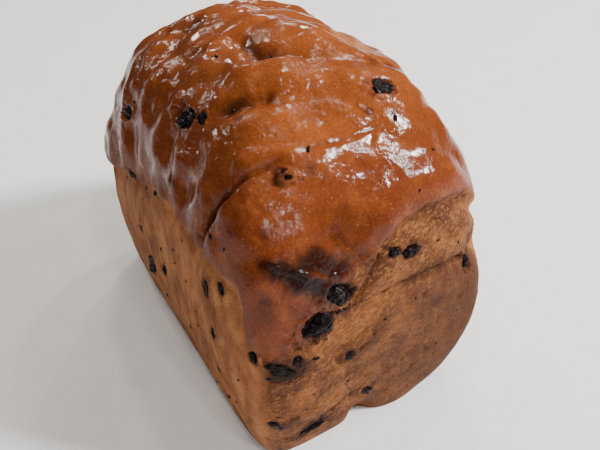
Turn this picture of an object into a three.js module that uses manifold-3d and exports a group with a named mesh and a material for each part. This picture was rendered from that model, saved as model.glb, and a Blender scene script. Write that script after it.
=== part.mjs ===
// A tin-baked currant bread: one glazed, domed loaf with currants baked into its crust.
// Millimetres, +Z up. The origin is the middle of the flat base, and the length runs along X.
import * as THREE from "three";
import { mergeVertices } from "three/addons/utils/BufferGeometryUtils.js";
import Module from "manifold-3d";

// Driving sizes of the loaf
const LENGTH = 153;
const WIDTH = 105;
const HEIGHT = 136;
const WALL_HEIGHT = 44; // where the tin's straight sides give way to the rounding dome
const MIDDLE_HEIGHT = 52; // the dome is laid out from this point inside the loaf
const BASE_LENGTH_SHARE = 0.93; // the tin tapers, so the base is a little shorter than the wall
const BASE_WIDTH_SHARE = 0.9;
const CORNER_POWER = 9.6; // plan of the tin: a superellipse with tight corners
const DOME_LENGTH_POWER = 3.3; // the dome is flat along its length
const DOME_WIDTH_POWER = 2.6; // and rounder across it
const DOME_RISE_POWER = 1.9;
const DOME_BLEND_POWER = 0.7; // how soon the plan of the tin gives way to the plan of the dome
const WALL_CURVE_POWER = 0.85; // how soon the tapering wall reaches its full size

// Where the dough did not fill the tin: the lower edge of the +Y side, most of all at the +X end
const UNFILLED_INSET = 2;
const UNFILLED_END_INSET = 4;
const UNFILLED_FROM = 10;
const UNFILLED_TO = 65;
const UNFILLED_CURVE_POWER = 1.5;

// Heights of the rim that the dome swells over, and how far it swells
const RIM_SIDE = 86;
const RIM_SIDE_SAG = 0.0036; // the rim falls off on both sides of its highest place
const RIM_SIDE_TOP = 25;
const RIM_END_LOW = 64;
const RIM_END_HIGH = 97;
const RIM_END_DROP = 13; // towards the high corner the rim comes down again
const RIM_LIP = 1.8;
const RIM_TUCK = 1.6;
const SMOOTH_CORNER = [76, -48]; // at this corner the lip fades out
const SMOOTH_CORNER_REACH = 30;
const SMOOTH_CORNER_SHARE = 0.8;

// The rolled dough shows as a crease across each end
const END_CREASE_HEIGHT = 69;
const FAR_CREASE_HEIGHT = 58;
const CREASE_DEPTH = 2.4;
const CREASE_SWELL = 0.8;
const CREASE_WAVE = 1.5;

// The notch in the lower edge of the +X end, where two turns of dough meet
const NOTCH_PLACE = -5;
const NOTCH_DEPTH = 4.5;
const NOTCH_WIDTH = 5;

// The lap of the dough climbs the -Y flank and crosses the dome, deep at first and then faint
const SEAM = [
  [39, -51, 82],
  [39, -49, 90],
  [40, -47, 98],
  [42, -43, 105],
  [45, -37, 113],
  [49, -31, 119],
  [52, -23, 122],
  [55, -8, 122],
  [56, 8, 123],
];
const SEAM_DEPTH = 3.6;
const SEAM_OVERLAP = 2;
const SEAM_WIDTH = 3;
const SEAM_FAINT_SHARE = 0.06; // what is left of the fold where it has faded to a line

// Pleats down the flanks of the dome, and the slow unevenness of the whole crust
const PLEAT_SPACING = 19;
const PLEAT_HEIGHT = 0.5;
const LUMP_HEIGHT = 0.4;
const DOME_LUMP_HEIGHT = 0.9;

// Grid cells along each edge of the loaf
const CELLS_LONG = 32;
const CELLS_WIDE = 20;
const CELLS_HIGH = 18;

// Furrows in the dome, each from one point to another as seen from above;
// a furrow of negative depth is a ridge
const FURROWS = [
  { from: [22, -36], to: [34, -21], width: 4, depth: 1.8 },
  { from: [-2, -14], to: [14, -13], width: 4, depth: 1.7 },
  { from: [14, -13], to: [31, 12], width: 5, depth: 2 },
  { from: [-3, -2], to: [12, 8], width: 8, depth: -2 },
  { from: [42, -8], to: [58, 8], width: 9, depth: 1.2 },
  { from: [-34, -24], to: [-12, -30], width: 7, depth: 2 },
  { from: [-30, -8], to: [-12, 4], width: 8, depth: -1.4 },
  { from: [-52, 8], to: [-34, 24], width: 7, depth: 2.2 },
  { from: [-22, 14], to: [-14, 34], width: 6, depth: 2.2 },
  { from: [-4, 16], to: [0, 26], width: 5, depth: 2 },
  { from: [8, 30], to: [26, 34], width: 9, depth: -2.6 },
  { from: [33, 22], to: [36, 40], width: 5, depth: 1.2 },
  { from: [-66, -42], to: [-44, -48], width: 10, depth: 1.4 },
  { from: [58, 30], to: [72, 46], width: 14, depth: 2.6 },
];

// Broad swells of the dough, each round a point; a swell of negative height is a dent
const SWELLS = [
  { round: [-75, -49, 97], reach: 21, height: -5 },
  { round: [-62, -52, 82], reach: 9, height: 2.4 },
  { round: [76, 50, 76], reach: 17, height: -2.8 },
  { round: [66, 44, 110], reach: 16, height: -2 },
  { round: [76, 12, 2], reach: 13, height: 3 },
  { round: [70, 40, 22], reach: 18, height: 1.6 },
];

// Currants that show in the crust: the face each sits in, its place on that face,
// its length, width and thickness, and its turn on the face in degrees
const CURRANTS = {
  left: [
    { at: [-30, 102], size: [8.5, 5, 4], turn: 29 },
    { at: [-26, 77], size: [8.5, 3.8, 3.6], turn: 35 },
    { at: [-24, 51], size: [5.5, 3.4, 3.2], turn: 39 },
    { at: [-20.5, 33], size: [13, 6, 4], turn: 68 },
    { at: [-2, 44], size: [7, 3.6, 3.4], turn: 58 },
    { at: [43, 72], size: [8, 5, 4], turn: 91 },
    { at: [51.5, 77.5], size: [4.6, 3.2, 3], turn: 107 },
    { at: [46, 52.5], size: [5.6, 3.6, 3.4], turn: 72 },
    { at: [68.5, 59.5], size: [5, 3, 3], turn: 110 },
  ],
  end: [
    { at: [-19.5, 80], size: [11.4, 9, 5], turn: 134 },
    { at: [-18, 72], size: [7.4, 3.6, 3.4], turn: 8 },
    { at: [-28, 70], size: [12.4, 8.6, 5], turn: 33 },
    { at: [2.5, 85.5], size: [5, 3.8, 5.4], turn: 150 },
    { at: [8.5, 83.5], size: [6, 5, 4], turn: 0 },
    { at: [-41.5, 55.5], size: [11.5, 4.2, 4], turn: 144 },
    { at: [-35.5, 57.5], size: [4.6, 3.6, 3.2], turn: 120 },
    { at: [-16, 49.5], size: [6, 4.6, 3.6], turn: 100 },
    { at: [-5.5, 20.5], size: [8.5, 4.9, 3.6], turn: 123 },
    { at: [-29, 12.5], size: [13, 4.4, 3.6], turn: 24 },
    { at: [-44.5, 27.5], size: [6.6, 3.4, 3.2], turn: 137 },
    { at: [38, 64.5], size: [5.7, 4, 3.6], turn: 95 },
  ],
  top: [
    { at: [9, -39.5], size: [10.4, 6.8, 5], turn: 8 },
    { at: [17.5, -37], size: [4.4, 3.2, 3], turn: 111 },
    { at: [44, 16.5], size: [9, 6.6, 5], turn: 159 },
    { at: [57, -27], size: [6, 3.2, 3], turn: 13 },
    { at: [36.5, 35.5], size: [6, 4.4, 3.6], turn: 10 },
    { at: [-46, 20], size: [8, 6, 4.4], turn: 120 },
    { at: [-26, 42], size: [7, 5.5, 4], turn: 30 },
  ],
  right: [
    { at: [-48, 60], size: [8, 6, 4], turn: 15 },
    { at: [-24, 30], size: [9, 5, 4], turn: 70 },
    { at: [2, 66], size: [6.5, 5, 4], turn: 40 },
    { at: [24, 42], size: [10, 6, 4.4], turn: 100 },
    { at: [50, 58], size: [6, 4.5, 3.6], turn: 20 },
  ],
  far: [
    { at: [-28, 62], size: [9, 6.5, 4.6], turn: 20 },
    { at: [8, 40], size: [7, 5, 4], turn: 80 },
    { at: [24, 74], size: [8, 6, 4.2], turn: 35 },
    { at: [-8, 18], size: [6, 4.2, 3.6], turn: 130 },
  ],
};
const POCKET_GAP = 0.35; // room between a currant and the dough round it
const PROUD_SHARE = 0.22; // how much of a currant's thickness stands above the crust
const CURRANT_UNEVENNESS = 0.16;
const CURRANT_ROUNDS = 1; // times that each face of a 20-sided ball is split in four

const CRUST = new THREE.MeshStandardMaterial({
  color: "#a9602c",
  roughness: 0.45,
  metalness: 0,
});
const CURRANT_SKIN = new THREE.MeshStandardMaterial({
  color: "#1d1417",
  roughness: 0.5,
  metalness: 0,
});

// Small curves that every form below is made of
const clamp01 = (x) => Math.min(1, Math.max(0, x));
const bell = (x, width) => Math.exp(-((x / width) ** 2));
function ease(from, to, x) {
  const t = clamp01((x - from) / (to - from));
  return t * t * (3 - 2 * t);
}

// The value in [low, high] where rises(value) turns from negative to positive
function root(rises, low, high) {
  for (let step = 0; step < 40; step++) {
    const middle = (low + high) / 2;
    if (rises(middle) < 0) low = middle;
    else high = middle;
  }
  return (low + high) / 2;
}

// The smooth loaf: negative inside, positive outside
function outside(x, y, z) {
  const wall = Math.sin(clamp01(z / WALL_HEIGHT) * (Math.PI / 2)) ** WALL_CURVE_POWER;
  const halfLength =
    (LENGTH / 2) * (BASE_LENGTH_SHARE + (1 - BASE_LENGTH_SHARE) * wall);
  let halfWidth =
    (WIDTH / 2) * (BASE_WIDTH_SHARE + (1 - BASE_WIDTH_SHARE) * wall);
  if (y > 0) {
    const inset = UNFILLED_INSET + UNFILLED_END_INSET * ease(UNFILLED_FROM, UNFILLED_TO, x);
    halfWidth -= inset * (1 - clamp01(z / WALL_HEIGHT)) ** UNFILLED_CURVE_POWER;
  }
  const rise = Math.max(0, (z - WALL_HEIGHT) / (HEIGHT - WALL_HEIGHT));
  const squareness = clamp01(rise) ** DOME_BLEND_POWER;
  const alongPower =
    CORNER_POWER + (DOME_LENGTH_POWER - CORNER_POWER) * squareness;
  const acrossPower =
    CORNER_POWER + (DOME_WIDTH_POWER - CORNER_POWER) * squareness;
  return (
    Math.abs(x / halfLength) ** alongPower +
    Math.abs(y / halfWidth) ** acrossPower +
    rise ** DOME_RISE_POWER -
    1
  );
}

function outwardAt(p) {
  const step = 0.2;
  return new THREE.Vector3(
    outside(p.x + step, p.y, p.z) - outside(p.x - step, p.y, p.z),
    outside(p.x, p.y + step, p.z) - outside(p.x, p.y - step, p.z),
    outside(p.x, p.y, p.z + step) - outside(p.x, p.y, p.z - step),
  ).normalize();
}

// Height of the rim round the loaf
function rimHeight(x, y) {
  const side = RIM_SIDE - RIM_SIDE_SAG * (x - RIM_SIDE_TOP) ** 2;
  const towardsHighCorner = x > 0 ? y : -y;
  const end =
    RIM_END_LOW +
    (RIM_END_HIGH - RIM_END_LOW) * ease(-32, 12, towardsHighCorner) -
    RIM_END_DROP * ease(20, 50, towardsHighCorner);
  return side + (end - side) * ease(0.79, 0.91, Math.abs(x) / (LENGTH / 2));
}

// The dome swells over the rim, and the crust below it is tucked in
function rimLip(p, out) {
  const above = p.z - rimHeight(p.x, p.y);
  const swell = ease(-1, 6, above) * (1 - ease(10, 34, above));
  const tuck = bell(above + 4, 4);
  const flank = 1 - ease(0.4, 0.8, out.z);
  const fromCorner = Math.hypot(p.x - SMOOTH_CORNER[0], p.y - SMOOTH_CORNER[1]);
  const share = 1 - SMOOTH_CORNER_SHARE * bell(fromCorner, SMOOTH_CORNER_REACH);
  return (RIM_LIP * swell - RIM_TUCK * tuck) * flank * share;
}

// The crease across an end, with the dough swelling above and below it
function creases(p, out) {
  const wave = CREASE_WAVE * Math.sin(p.y / 9);
  const form = (above) =>
    CREASE_SWELL * (bell(above - 12, 8) + bell(above + 14, 10)) -
    CREASE_DEPTH * bell(above, 3.4);
  const near = ease(0.4, 0.8, out.x) * ease(-26, -8, p.y);
  const far = ease(0.4, 0.8, -out.x) * ease(-30, -12, -p.y);
  return (
    near * form(p.z - END_CREASE_HEIGHT - wave) +
    far * form(p.z - FAR_CREASE_HEIGHT + wave)
  );
}

function notch(p, out) {
  const low = 1 - ease(3, 14, p.z);
  const place = bell(p.y - NOTCH_PLACE, NOTCH_WIDTH);
  return -NOTCH_DEPTH * place * low * ease(0.5, 0.9, out.x);
}

// The nearest place on a path: how far off it is, and how far along, from 0 to 1
function nearestOn(path, p) {
  let nearest = { gap: Infinity, along: 0, away: null };
  for (let i = 0; i + 1 < path.length; i++) {
    const start = new THREE.Vector3(...path[i]);
    const line = new THREE.Line3(start, new THREE.Vector3(...path[i + 1]));
    const share = line.closestPointToPointParameter(p, true);
    const away = p.clone().sub(line.at(share, new THREE.Vector3()));
    if (away.length() < nearest.gap)
      nearest = {
        gap: away.length(),
        along: (i + share) / (path.length - 1),
        away,
      };
  }
  return nearest;
}

// At the lap seam the dough of the +X end overlaps the dough on the long side of the loaf
function lapSeam(p) {
  const { gap, along, away } = nearestOn(SEAM, p);
  const strength =
    (1 - ease(0.35, 0.7, along)) * ease(0, 0.1, along) + SEAM_FAINT_SHARE;
  const tail = 1 - ease(8, 16, gap) * ease(0.98, 1, along);
  const fold = -SEAM_DEPTH * bell(gap, SEAM_WIDTH);
  const ahead = away.x < 0 ? SEAM_OVERLAP / 2 : SEAM_OVERLAP;
  const overlap = ahead * ease(0, 6, gap) * (1 - ease(7, 22, gap));
  return (fold + overlap) * strength * tail;
}

function furrows(p, out) {
  const seenFromAbove = new THREE.Vector3(p.x, p.y, 0);
  let depth = 0;
  for (const { from, to, width, depth: deep } of FURROWS) {
    const { gap } = nearestOn([[...from, 0], [...to, 0]], seenFromAbove);
    depth += deep * bell(gap, width);
  }
  return -depth * ease(0.35, 0.75, out.z);
}

function pleats(p, out) {
  const flank = ease(0.35, 0.8, Math.abs(out.y)) * (1 - ease(0.6, 0.9, out.z));
  const band = ease(66, 84, p.z) * (1 - ease(108, 124, p.z));
  const place = p.x + 0.25 * (p.z - 90) + 3 * Math.sin(p.x / 17);
  return PLEAT_HEIGHT * Math.sin((2 * Math.PI * place) / PLEAT_SPACING) * flank * band;
}

function lumps(p, out) {
  const slow =
    Math.sin(p.x / 14 + 1.1) * Math.cos(p.y / 11 + 0.4) +
    0.7 * Math.sin(p.x / 9 - p.y / 11 + 2.2) * Math.sin(p.z / 12);
  const onDome = ease(0.1, 0.7, out.z);
  return slow * (LUMP_HEIGHT + (DOME_LUMP_HEIGHT - LUMP_HEIGHT) * onDome);
}

function swells(p) {
  let height = 0;
  for (const swell of SWELLS) {
    const gap = p.distanceTo(new THREE.Vector3(...swell.round));
    height += swell.height * bell(gap, swell.reach);
  }
  return height;
}

// How far the crust stands out from the smooth loaf at p
function relief(p, out) {
  const clearOfBase = ease(1, 9, p.z);
  const crust =
    rimLip(p, out) +
    creases(p, out) +
    lapSeam(p) +
    furrows(p, out) +
    pleats(p, out) +
    lumps(p, out);
  return crust * clearOfBase + notch(p, out) + swells(p);
}

function onCrust(p) {
  const out = outwardAt(p);
  if (p.z < 0.01) out.setZ(0); // the base stays flat
  return p.clone().addScaledVector(out, relief(p, out));
}

// Where a ray from a point inside comes out of the smooth loaf
function castOut(from, towards) {
  const at = (t) => from.clone().addScaledVector(towards, t);
  return at(root((t) => outside(...at(t).toArray()), 0, 1.6));
}

// A point of the unit cube's surface, moved to the loaf: level rays up to the middle height,
// rays that fan out above it, and plain scaling on the flat base
function loafPoint(u, v, w) {
  const level = MIDDLE_HEIGHT * (1 + Math.min(0, w));
  const inside = new THREE.Vector3(0, 0, level);
  const spread = w > -1 ? 1 : Math.max(Math.abs(u), Math.abs(v), 1e-9);
  const towards = new THREE.Vector3(
    ((u / spread) * LENGTH) / 2,
    ((v / spread) * WIDTH) / 2,
    Math.max(0, w) * (HEIGHT - MIDDLE_HEIGHT),
  );
  const p = onCrust(castOut(inside, towards));
  return w > -1 ? p : new THREE.Vector3(p.x * spread, p.y * spread, 0);
}

// The surface alone, with one vertex wherever faces meet
function bareSurface(geometry) {
  geometry.deleteAttribute("normal");
  geometry.deleteAttribute("uv");
  return mergeVertices(geometry, 1e-5);
}

function loafGeometry() {
  const cube = bareSurface(
    new THREE.BoxGeometry(2, 2, 2, CELLS_LONG, CELLS_WIDE, CELLS_HIGH),
  );
  const place = cube.getAttribute("position");
  for (let i = 0; i < place.count; i++) {
    const p = loafPoint(place.getX(i), place.getY(i), place.getZ(i));
    place.setXYZ(i, p.x, p.y, p.z);
  }
  return cube;
}

// Where a line from inside the loaf, square to a face, comes out of the crust
function placeOnFace(face, [first, second]) {
  const far = LENGTH;
  const rays = {
    left: (t) => new THREE.Vector3(first, -t, second),
    right: (t) => new THREE.Vector3(first, t, second),
    end: (t) => new THREE.Vector3(t, first, second),
    far: (t) => new THREE.Vector3(-t, first, second),
    top: (t) => new THREE.Vector3(first, second, t),
  };
  const ray = rays[face];
  const reach = root((t) => outside(...ray(t).toArray()), 0, far);
  const smooth = ray(reach);
  return { surface: onCrust(smooth), out: outwardAt(smooth) };
}

// An uneven, flattened berry: its own copy of a sphere, bumped by its number
function berryGeometry([long, wide, thick], number, grown) {
  const berry = bareSurface(new THREE.IcosahedronGeometry(1, CURRANT_ROUNDS));
  const place = berry.getAttribute("position");
  for (let i = 0; i < place.count; i++) {
    const p = new THREE.Vector3().fromBufferAttribute(place, i);
    const bump =
      1 +
      CURRANT_UNEVENNESS *
        Math.sin(3 * p.x + 1.7 * number) *
        Math.cos(2.6 * p.y - 0.9 * number);
    p.multiplyScalar(bump);
    place.setXYZ(
      i,
      p.x * (long / 2 + grown),
      p.y * (wide / 2 + grown),
      p.z * (thick / 2 + grown),
    );
  }
  return berry;
}

function berryPlacement(face, { at, size, turn }) {
  const { surface, out } = placeOnFace(face, at);
  const level =
    Math.abs(out.z) > 0.9
      ? new THREE.Vector3(1, 0, 0)
      : new THREE.Vector3(-out.y, out.x, 0);
  level.addScaledVector(out, -level.dot(out)).normalize();
  const upward = new THREE.Vector3().crossVectors(out, level);
  const turned = new THREE.Matrix4()
    .makeBasis(level, upward, out)
    .multiply(new THREE.Matrix4().makeRotationZ(THREE.MathUtils.degToRad(turn)));
  const sunk = size[2] * (0.5 - PROUD_SHARE);
  turned.setPosition(surface.clone().addScaledVector(out, -sunk));
  return turned;
}

// Boolean work on closed surfaces
const wasm = await Module();
wasm.setup();

function solidOf(geometry) {
  return new wasm.Manifold(
    new wasm.Mesh({
      numProp: 3,
      vertProperties: new Float32Array(geometry.getAttribute("position").array),
      triVerts: new Uint32Array(geometry.index.array),
    }),
  );
}

function geometryOf(solid) {
  const { vertProperties, triVerts } = solid.getMesh();
  return new THREE.BufferGeometry()
    .setAttribute("position", new THREE.BufferAttribute(vertProperties, 3))
    .setIndex(new THREE.BufferAttribute(triVerts, 1));
}

const bread = new THREE.Group();
let dough = solidOf(loafGeometry());
let number = 0;
for (const [face, berries] of Object.entries(CURRANTS))
  for (const berry of berries) {
    number += 1;
    const placement = berryPlacement(face, berry);
    const body = berryGeometry(berry.size, number, 0);
    const pocket = berryGeometry(berry.size, number, POCKET_GAP);
    dough = dough.subtract(solidOf(pocket.applyMatrix4(placement)));
    const currant = new THREE.Mesh(body.applyMatrix4(placement), CURRANT_SKIN);
    currant.name = `currant_${face}_${String(number).padStart(2, "0")}`;
    bread.add(currant);
  }
const loaf = new THREE.Mesh(geometryOf(dough), CRUST);
loaf.name = "loaf";
bread.add(loaf);

export default bread;
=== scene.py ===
# %% [markdown]
# # A tin-baked currant bread
#
# The real loaf is one piece of dough, rolled up, dropped in a tin and baked. The tin gives it straight,
# matte, golden sides and a flat base. Above the tin the dough swells into a dome, which is brushed with
# egg wash and bakes glossy and red-brown. Currants lie in the dough, and some show in the crust.
#
# This lesson dresses a plain solid of that loaf. It starts by loading the solid as a frame that never
# moves, so that everything made here can be worked out from its size.

import math
import random

import bmesh
import bpy
import numpy as np
from mathutils import Matrix, Vector, noise


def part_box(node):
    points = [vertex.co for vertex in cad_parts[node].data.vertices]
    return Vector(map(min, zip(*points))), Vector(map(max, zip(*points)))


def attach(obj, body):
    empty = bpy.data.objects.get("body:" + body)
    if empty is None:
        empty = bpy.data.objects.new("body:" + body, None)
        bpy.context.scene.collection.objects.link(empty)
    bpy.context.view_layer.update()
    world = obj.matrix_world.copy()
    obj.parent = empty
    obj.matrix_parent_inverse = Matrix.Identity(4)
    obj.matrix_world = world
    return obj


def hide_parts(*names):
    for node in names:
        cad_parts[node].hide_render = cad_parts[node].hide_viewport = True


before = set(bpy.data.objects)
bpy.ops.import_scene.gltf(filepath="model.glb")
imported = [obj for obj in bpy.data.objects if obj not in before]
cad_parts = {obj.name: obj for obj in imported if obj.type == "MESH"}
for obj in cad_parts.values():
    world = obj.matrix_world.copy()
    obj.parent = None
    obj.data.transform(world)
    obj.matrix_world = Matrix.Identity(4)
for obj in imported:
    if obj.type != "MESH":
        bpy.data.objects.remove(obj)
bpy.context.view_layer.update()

MM = 0.001  # Blender's unit is the metre, and a baker's is the millimetre
low_corner, high_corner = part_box("loaf")
LONG, WIDE, HIGH = (high_corner - low_corner) / MM
print(f"The loaf is {LONG:.0f} by {WIDE:.0f} by {HIGH:.0f} mm")

# %% [markdown]
# ## The camera
#
# The photograph was taken from above one corner of the loaf, quite close, so that corner looks large.
# A camera could be dragged into place, but it is easier to state as a photographer would: where it
# aims, from which side and height, and how far off. Three directions at right angles then turn it.

# %% The camera
CAMERA_AIM = Vector((13.6, 2.7, 55)) * MM
CAMERA_AZIMUTH = math.radians(59.3)
CAMERA_ELEVATION = math.radians(39.5)
CAMERA_ROLL = math.radians(-0.7)
CAMERA_DISTANCE = 273 * MM
PHOTO_WIDTH_PX = 600
FOCAL_LENGTH_PX = 661
SENSOR_MM = 36


def camera_axes(azimuth, elevation, roll):
    back = Vector((
        math.sin(azimuth) * math.cos(elevation),
        -math.cos(azimuth) * math.cos(elevation),
        math.sin(elevation),
    ))
    right = Vector((math.cos(azimuth), math.sin(azimuth), 0))
    up = back.cross(right)
    rolled_right = math.cos(roll) * right + math.sin(roll) * up
    rolled_up = -math.sin(roll) * right + math.cos(roll) * up
    return rolled_right, rolled_up, back


camera_data = bpy.data.cameras.new("camera")
camera_data.sensor_width = SENSOR_MM
camera_data.lens = FOCAL_LENGTH_PX / PHOTO_WIDTH_PX * SENSOR_MM
camera_data.clip_start = 10 * MM
camera = bpy.data.objects.new("camera", camera_data)
bpy.context.scene.collection.objects.link(camera)
axes = camera_axes(CAMERA_AZIMUTH, CAMERA_ELEVATION, CAMERA_ROLL)
camera.matrix_world = Matrix.Translation(
    CAMERA_AIM + axes[2] * CAMERA_DISTANCE
) @ Matrix(axes).transposed().to_4x4()
bpy.context.scene.camera = camera
camera_place = [round(c, 3) for c in camera.matrix_world.translation]
print(f"Lens {camera_data.lens:.1f} mm, camera at {camera_place}")

# %% [markdown]
# ## The form of the loaf
#
# Under its folds and wrinkles the loaf is one smooth form. It could be a sculpted cube, but every fold
# would then have to be cut in by hand. A formula is easier to add to. In plan the loaf is a
# superellipse, a rectangle with rounded corners, that grows rounder as the dome rises. The formula is
# negative inside the loaf and positive outside. Lengths are millimetres here.

# %% Driving sizes of the smooth loaf
LENGTH = 0.9865 * LONG
WIDTH = 0.9915 * WIDE
HEIGHT = 0.983 * HIGH
WALL_HEIGHT = 44
BASE_LENGTH_SHARE = 0.93  # the tin is narrower at its base
BASE_WIDTH_SHARE = 0.9
WALL_CURVE_POWER = 0.85
CORNER_POWER = 9.6
DOME_LENGTH_POWER = 3.3
DOME_WIDTH_POWER = 2.6
DOME_RISE_POWER = 1.9
DOME_BLEND_POWER = 0.7
UNFILLED_INSET = 2  # low on one side the dough didn't quite fill the tin
UNFILLED_END_INSET = 4
UNFILLED_FROM = 10
UNFILLED_TO = 65
UNFILLED_CURVE_POWER = 1.5

print(f"The smooth loaf under the relief is {LENGTH:.0f} by {WIDTH:.0f} by {HEIGHT:.0f} mm")


# %% The smooth form
def ease(start, end, x):
    """Rises softly from 0 at the start to 1 at the end."""
    t = np.clip((x - start) / (end - start), 0, 1)
    return t * t * (3 - 2 * t)


def bell(x, width):
    return np.exp(-((x / width) ** 2))


def outside(p):
    x, y, z = p.T
    filled = np.clip(z / WALL_HEIGHT, 0, 1)
    wall = np.sin(filled * math.pi / 2) ** WALL_CURVE_POWER
    half_length = LENGTH / 2 * (BASE_LENGTH_SHARE + (1 - BASE_LENGTH_SHARE) * wall)
    half_width = WIDTH / 2 * (BASE_WIDTH_SHARE + (1 - BASE_WIDTH_SHARE) * wall)
    inset = UNFILLED_INSET + UNFILLED_END_INSET * ease(UNFILLED_FROM, UNFILLED_TO, x)
    half_width = half_width - np.where(y > 0, inset * (1 - filled) ** UNFILLED_CURVE_POWER, 0)
    rise = np.maximum(0, (z - WALL_HEIGHT) / (HEIGHT - WALL_HEIGHT))
    dome = np.clip(rise, 0, 1) ** DOME_BLEND_POWER
    along = CORNER_POWER + (DOME_LENGTH_POWER - CORNER_POWER) * dome
    across = CORNER_POWER + (DOME_WIDTH_POWER - CORNER_POWER) * dome
    plan = np.abs(x / half_length) ** along + np.abs(y / half_width) ** across
    return plan + rise**DOME_RISE_POWER - 1


print(f"The middle of the loaf is inside it: {outside(np.array([[0, 0, HEIGHT / 2]]))[0] < 0}")

# %% [markdown]
# ### From a cube to the loaf
#
# The crust will be a cube pushed onto the loaf. Each point of the cube sends a ray from inside the
# loaf, and the stretch of the ray where the formula changes sign is halved until it is a point. Numpy
# follows all rays at once, which keeps this quick. The formula's slope says which way is straight out.

# %% Onto the smooth loaf
MIDDLE_HEIGHT = 52  # rays above this height start from here
RAY_REACH = 1.6  # as a share of the cube point's own distance
HALVINGS = 34
SLOPE_STEP = 0.2


def outward(p):
    steps = SLOPE_STEP * np.eye(3)
    slopes = np.stack([outside(p + step) - outside(p - step) for step in steps], 1)
    return slopes / np.linalg.norm(slopes, axis=1, keepdims=True)


def on_smooth_loaf(cube):
    u, v, w = cube.T
    level = MIDDLE_HEIGHT * (1 + np.minimum(0, w))
    start = np.stack([0 * u, 0 * v, level], 1)
    rise = np.maximum(0, w) * (HEIGHT - MIDDLE_HEIGHT)
    towards = np.stack([u * LENGTH / 2, v * WIDTH / 2, rise], 1)
    near, far = np.zeros(len(cube)), np.full(len(cube), RAY_REACH)
    for _ in range(HALVINGS):
        middle = (near + far) / 2
        inside = outside(start + middle[:, None] * towards) < 0
        near = np.where(inside, middle, near)
        far = np.where(inside, far, middle)
    return start + near[:, None] * towards


top_of_dome = on_smooth_loaf(np.array([[0.0, 0.0, 1.0]]))[0]
faces = outward(top_of_dome[None])[0].round(2)
print(f"The top of the dome is at {top_of_dome[2]:.0f} mm and faces {faces}")

# %% [markdown]
# ## Two tools for the relief
#
# Folds and cracks run along paths, so one tool measures how far each point is from a path. Crust is
# also uneven everywhere, and nothing on it repeats, so the other tool is smooth noise. Its place is
# shifted for each use, so that no two patterns are alike.


# %% Paths and noise
def nearest_on(path, points):
    """How far each point is from a path, how far along the path from 0 to 1, and which way off it."""
    gap = np.full(len(points), np.inf)
    along = np.zeros(len(points))
    away = np.zeros((len(points), 3))
    corners = [np.array(corner, float) for corner in path]
    for i, (start, end) in enumerate(zip(corners, corners[1:])):
        line = end - start
        share = np.clip((points - start) @ line / (line @ line), 0, 1)
        off = points - start - share[:, None] * line
        distance = np.linalg.norm(off, axis=1)
        closer = distance < gap
        gap[closer] = distance[closer]
        along[closer] = (i + share[closer]) / (len(corners) - 1)
        away[closer] = off[closer]
    return gap, along, away


def noise_at(points, size, octaves=1, place=0.0):
    """Smooth noise from about -1 to 1, with lumps of that size in millimetres."""
    shift = Vector((place, 2.3 * place, -1.7 * place))
    return np.array([
        noise.fractal(Vector(p) / size + shift, 1.0, 2.0, octaves) for p in points
    ])


tried_gap = nearest_on([(0, 0, 0), (1, 0, 0)], np.array([[0.5, 3, 0]]))[0][0]
print(f"A point 3 mm beside a path measures {tried_gap:.0f} mm")

# %% [markdown]
# ## Where the currants lie
#
# A currant sits in the crust in a pocket of its own. Its place and its own axes could be typed in, but
# each currant is a node of the frame already, so they are read from that node. The crust has to dip at
# each one and lift in a low lip round it.


# %% Read the currants
def currant_seat(name):
    points = np.array([v.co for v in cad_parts[name].data.vertices]) / MM
    middle = (points.min(0) + points.max(0)) / 2
    out = outward(middle[None])[0]
    flat = points - middle - np.outer((points - middle) @ out, out)
    directions = np.linalg.eigh(np.cov(flat.T))[1]
    wide, long = directions[:, 1], directions[:, 2]
    reach = [np.abs((points - middle) @ axis).max() for axis in (long, wide, out)]
    return {"name": name, "middle": middle, "axes": (long, wide, out), "reach": reach}


currant_names = sorted(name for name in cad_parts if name.startswith("currant_"))
seats = [currant_seat(name) for name in currant_names]
print(f"{len(seats)} currants, the largest {2 * max(s['reach'][0] for s in seats):.0f} mm long")

# %% [markdown]
# ## The relief of the crust
#
# A baked crust is a record of how the dough moved. It could be sculpted, or pressed in by a displacement
# texture. Here each feature is one function instead, which says how far the crust stands out from the
# smooth form, in millimetres. Functions add up, and each can be changed alone.
#
# The first feature is the rim. Where the dough swelled over the tin's edge it hangs out in a lip, with a
# tuck under it. The rim sags along the sides, climbs across each end towards one corner, and fades out
# at the corner that faces the camera.

# %% The rim
RIM_SIDE = 86
RIM_SIDE_SAG = 0.0036
RIM_SIDE_TOP = 25
RIM_END_LOW = 64
RIM_END_HIGH = 97
RIM_END_RISES = (-32, 12)  # it climbs between these places across the end
RIM_END_DROP = 13
RIM_END_DROPS = (20, 50)  # towards the high corner it comes down again
RIM_TURNS = (0.79, 0.91)  # where the side's rim becomes the end's, as shares of half the length
RIM_LIP = 1.8
LIP_RISES = (-1, 4)  # heights above the rim
LIP_SINKS = (10, 34)
LIP_FLANK = (0.4, 0.8)  # the lip is only where the crust is steep: these are its upward slopes
RIM_TUCK = 1.6
TUCK_REACH = 3
SMOOTH_CORNER = (76, -48)  # at this corner the lip fades out
SMOOTH_CORNER_REACH = 30
SMOOTH_CORNER_SHARE = 0.8


def across_end(p):
    """The place across an end, counted towards the corner where its rim is high."""
    return np.where(p[:, 0] > 0, p[:, 1], -p[:, 1])


def along_loaf(p):
    """0 in the middle of the loaf's length and 1 at its ends."""
    return np.abs(p[:, 0]) / (LENGTH / 2)


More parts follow.
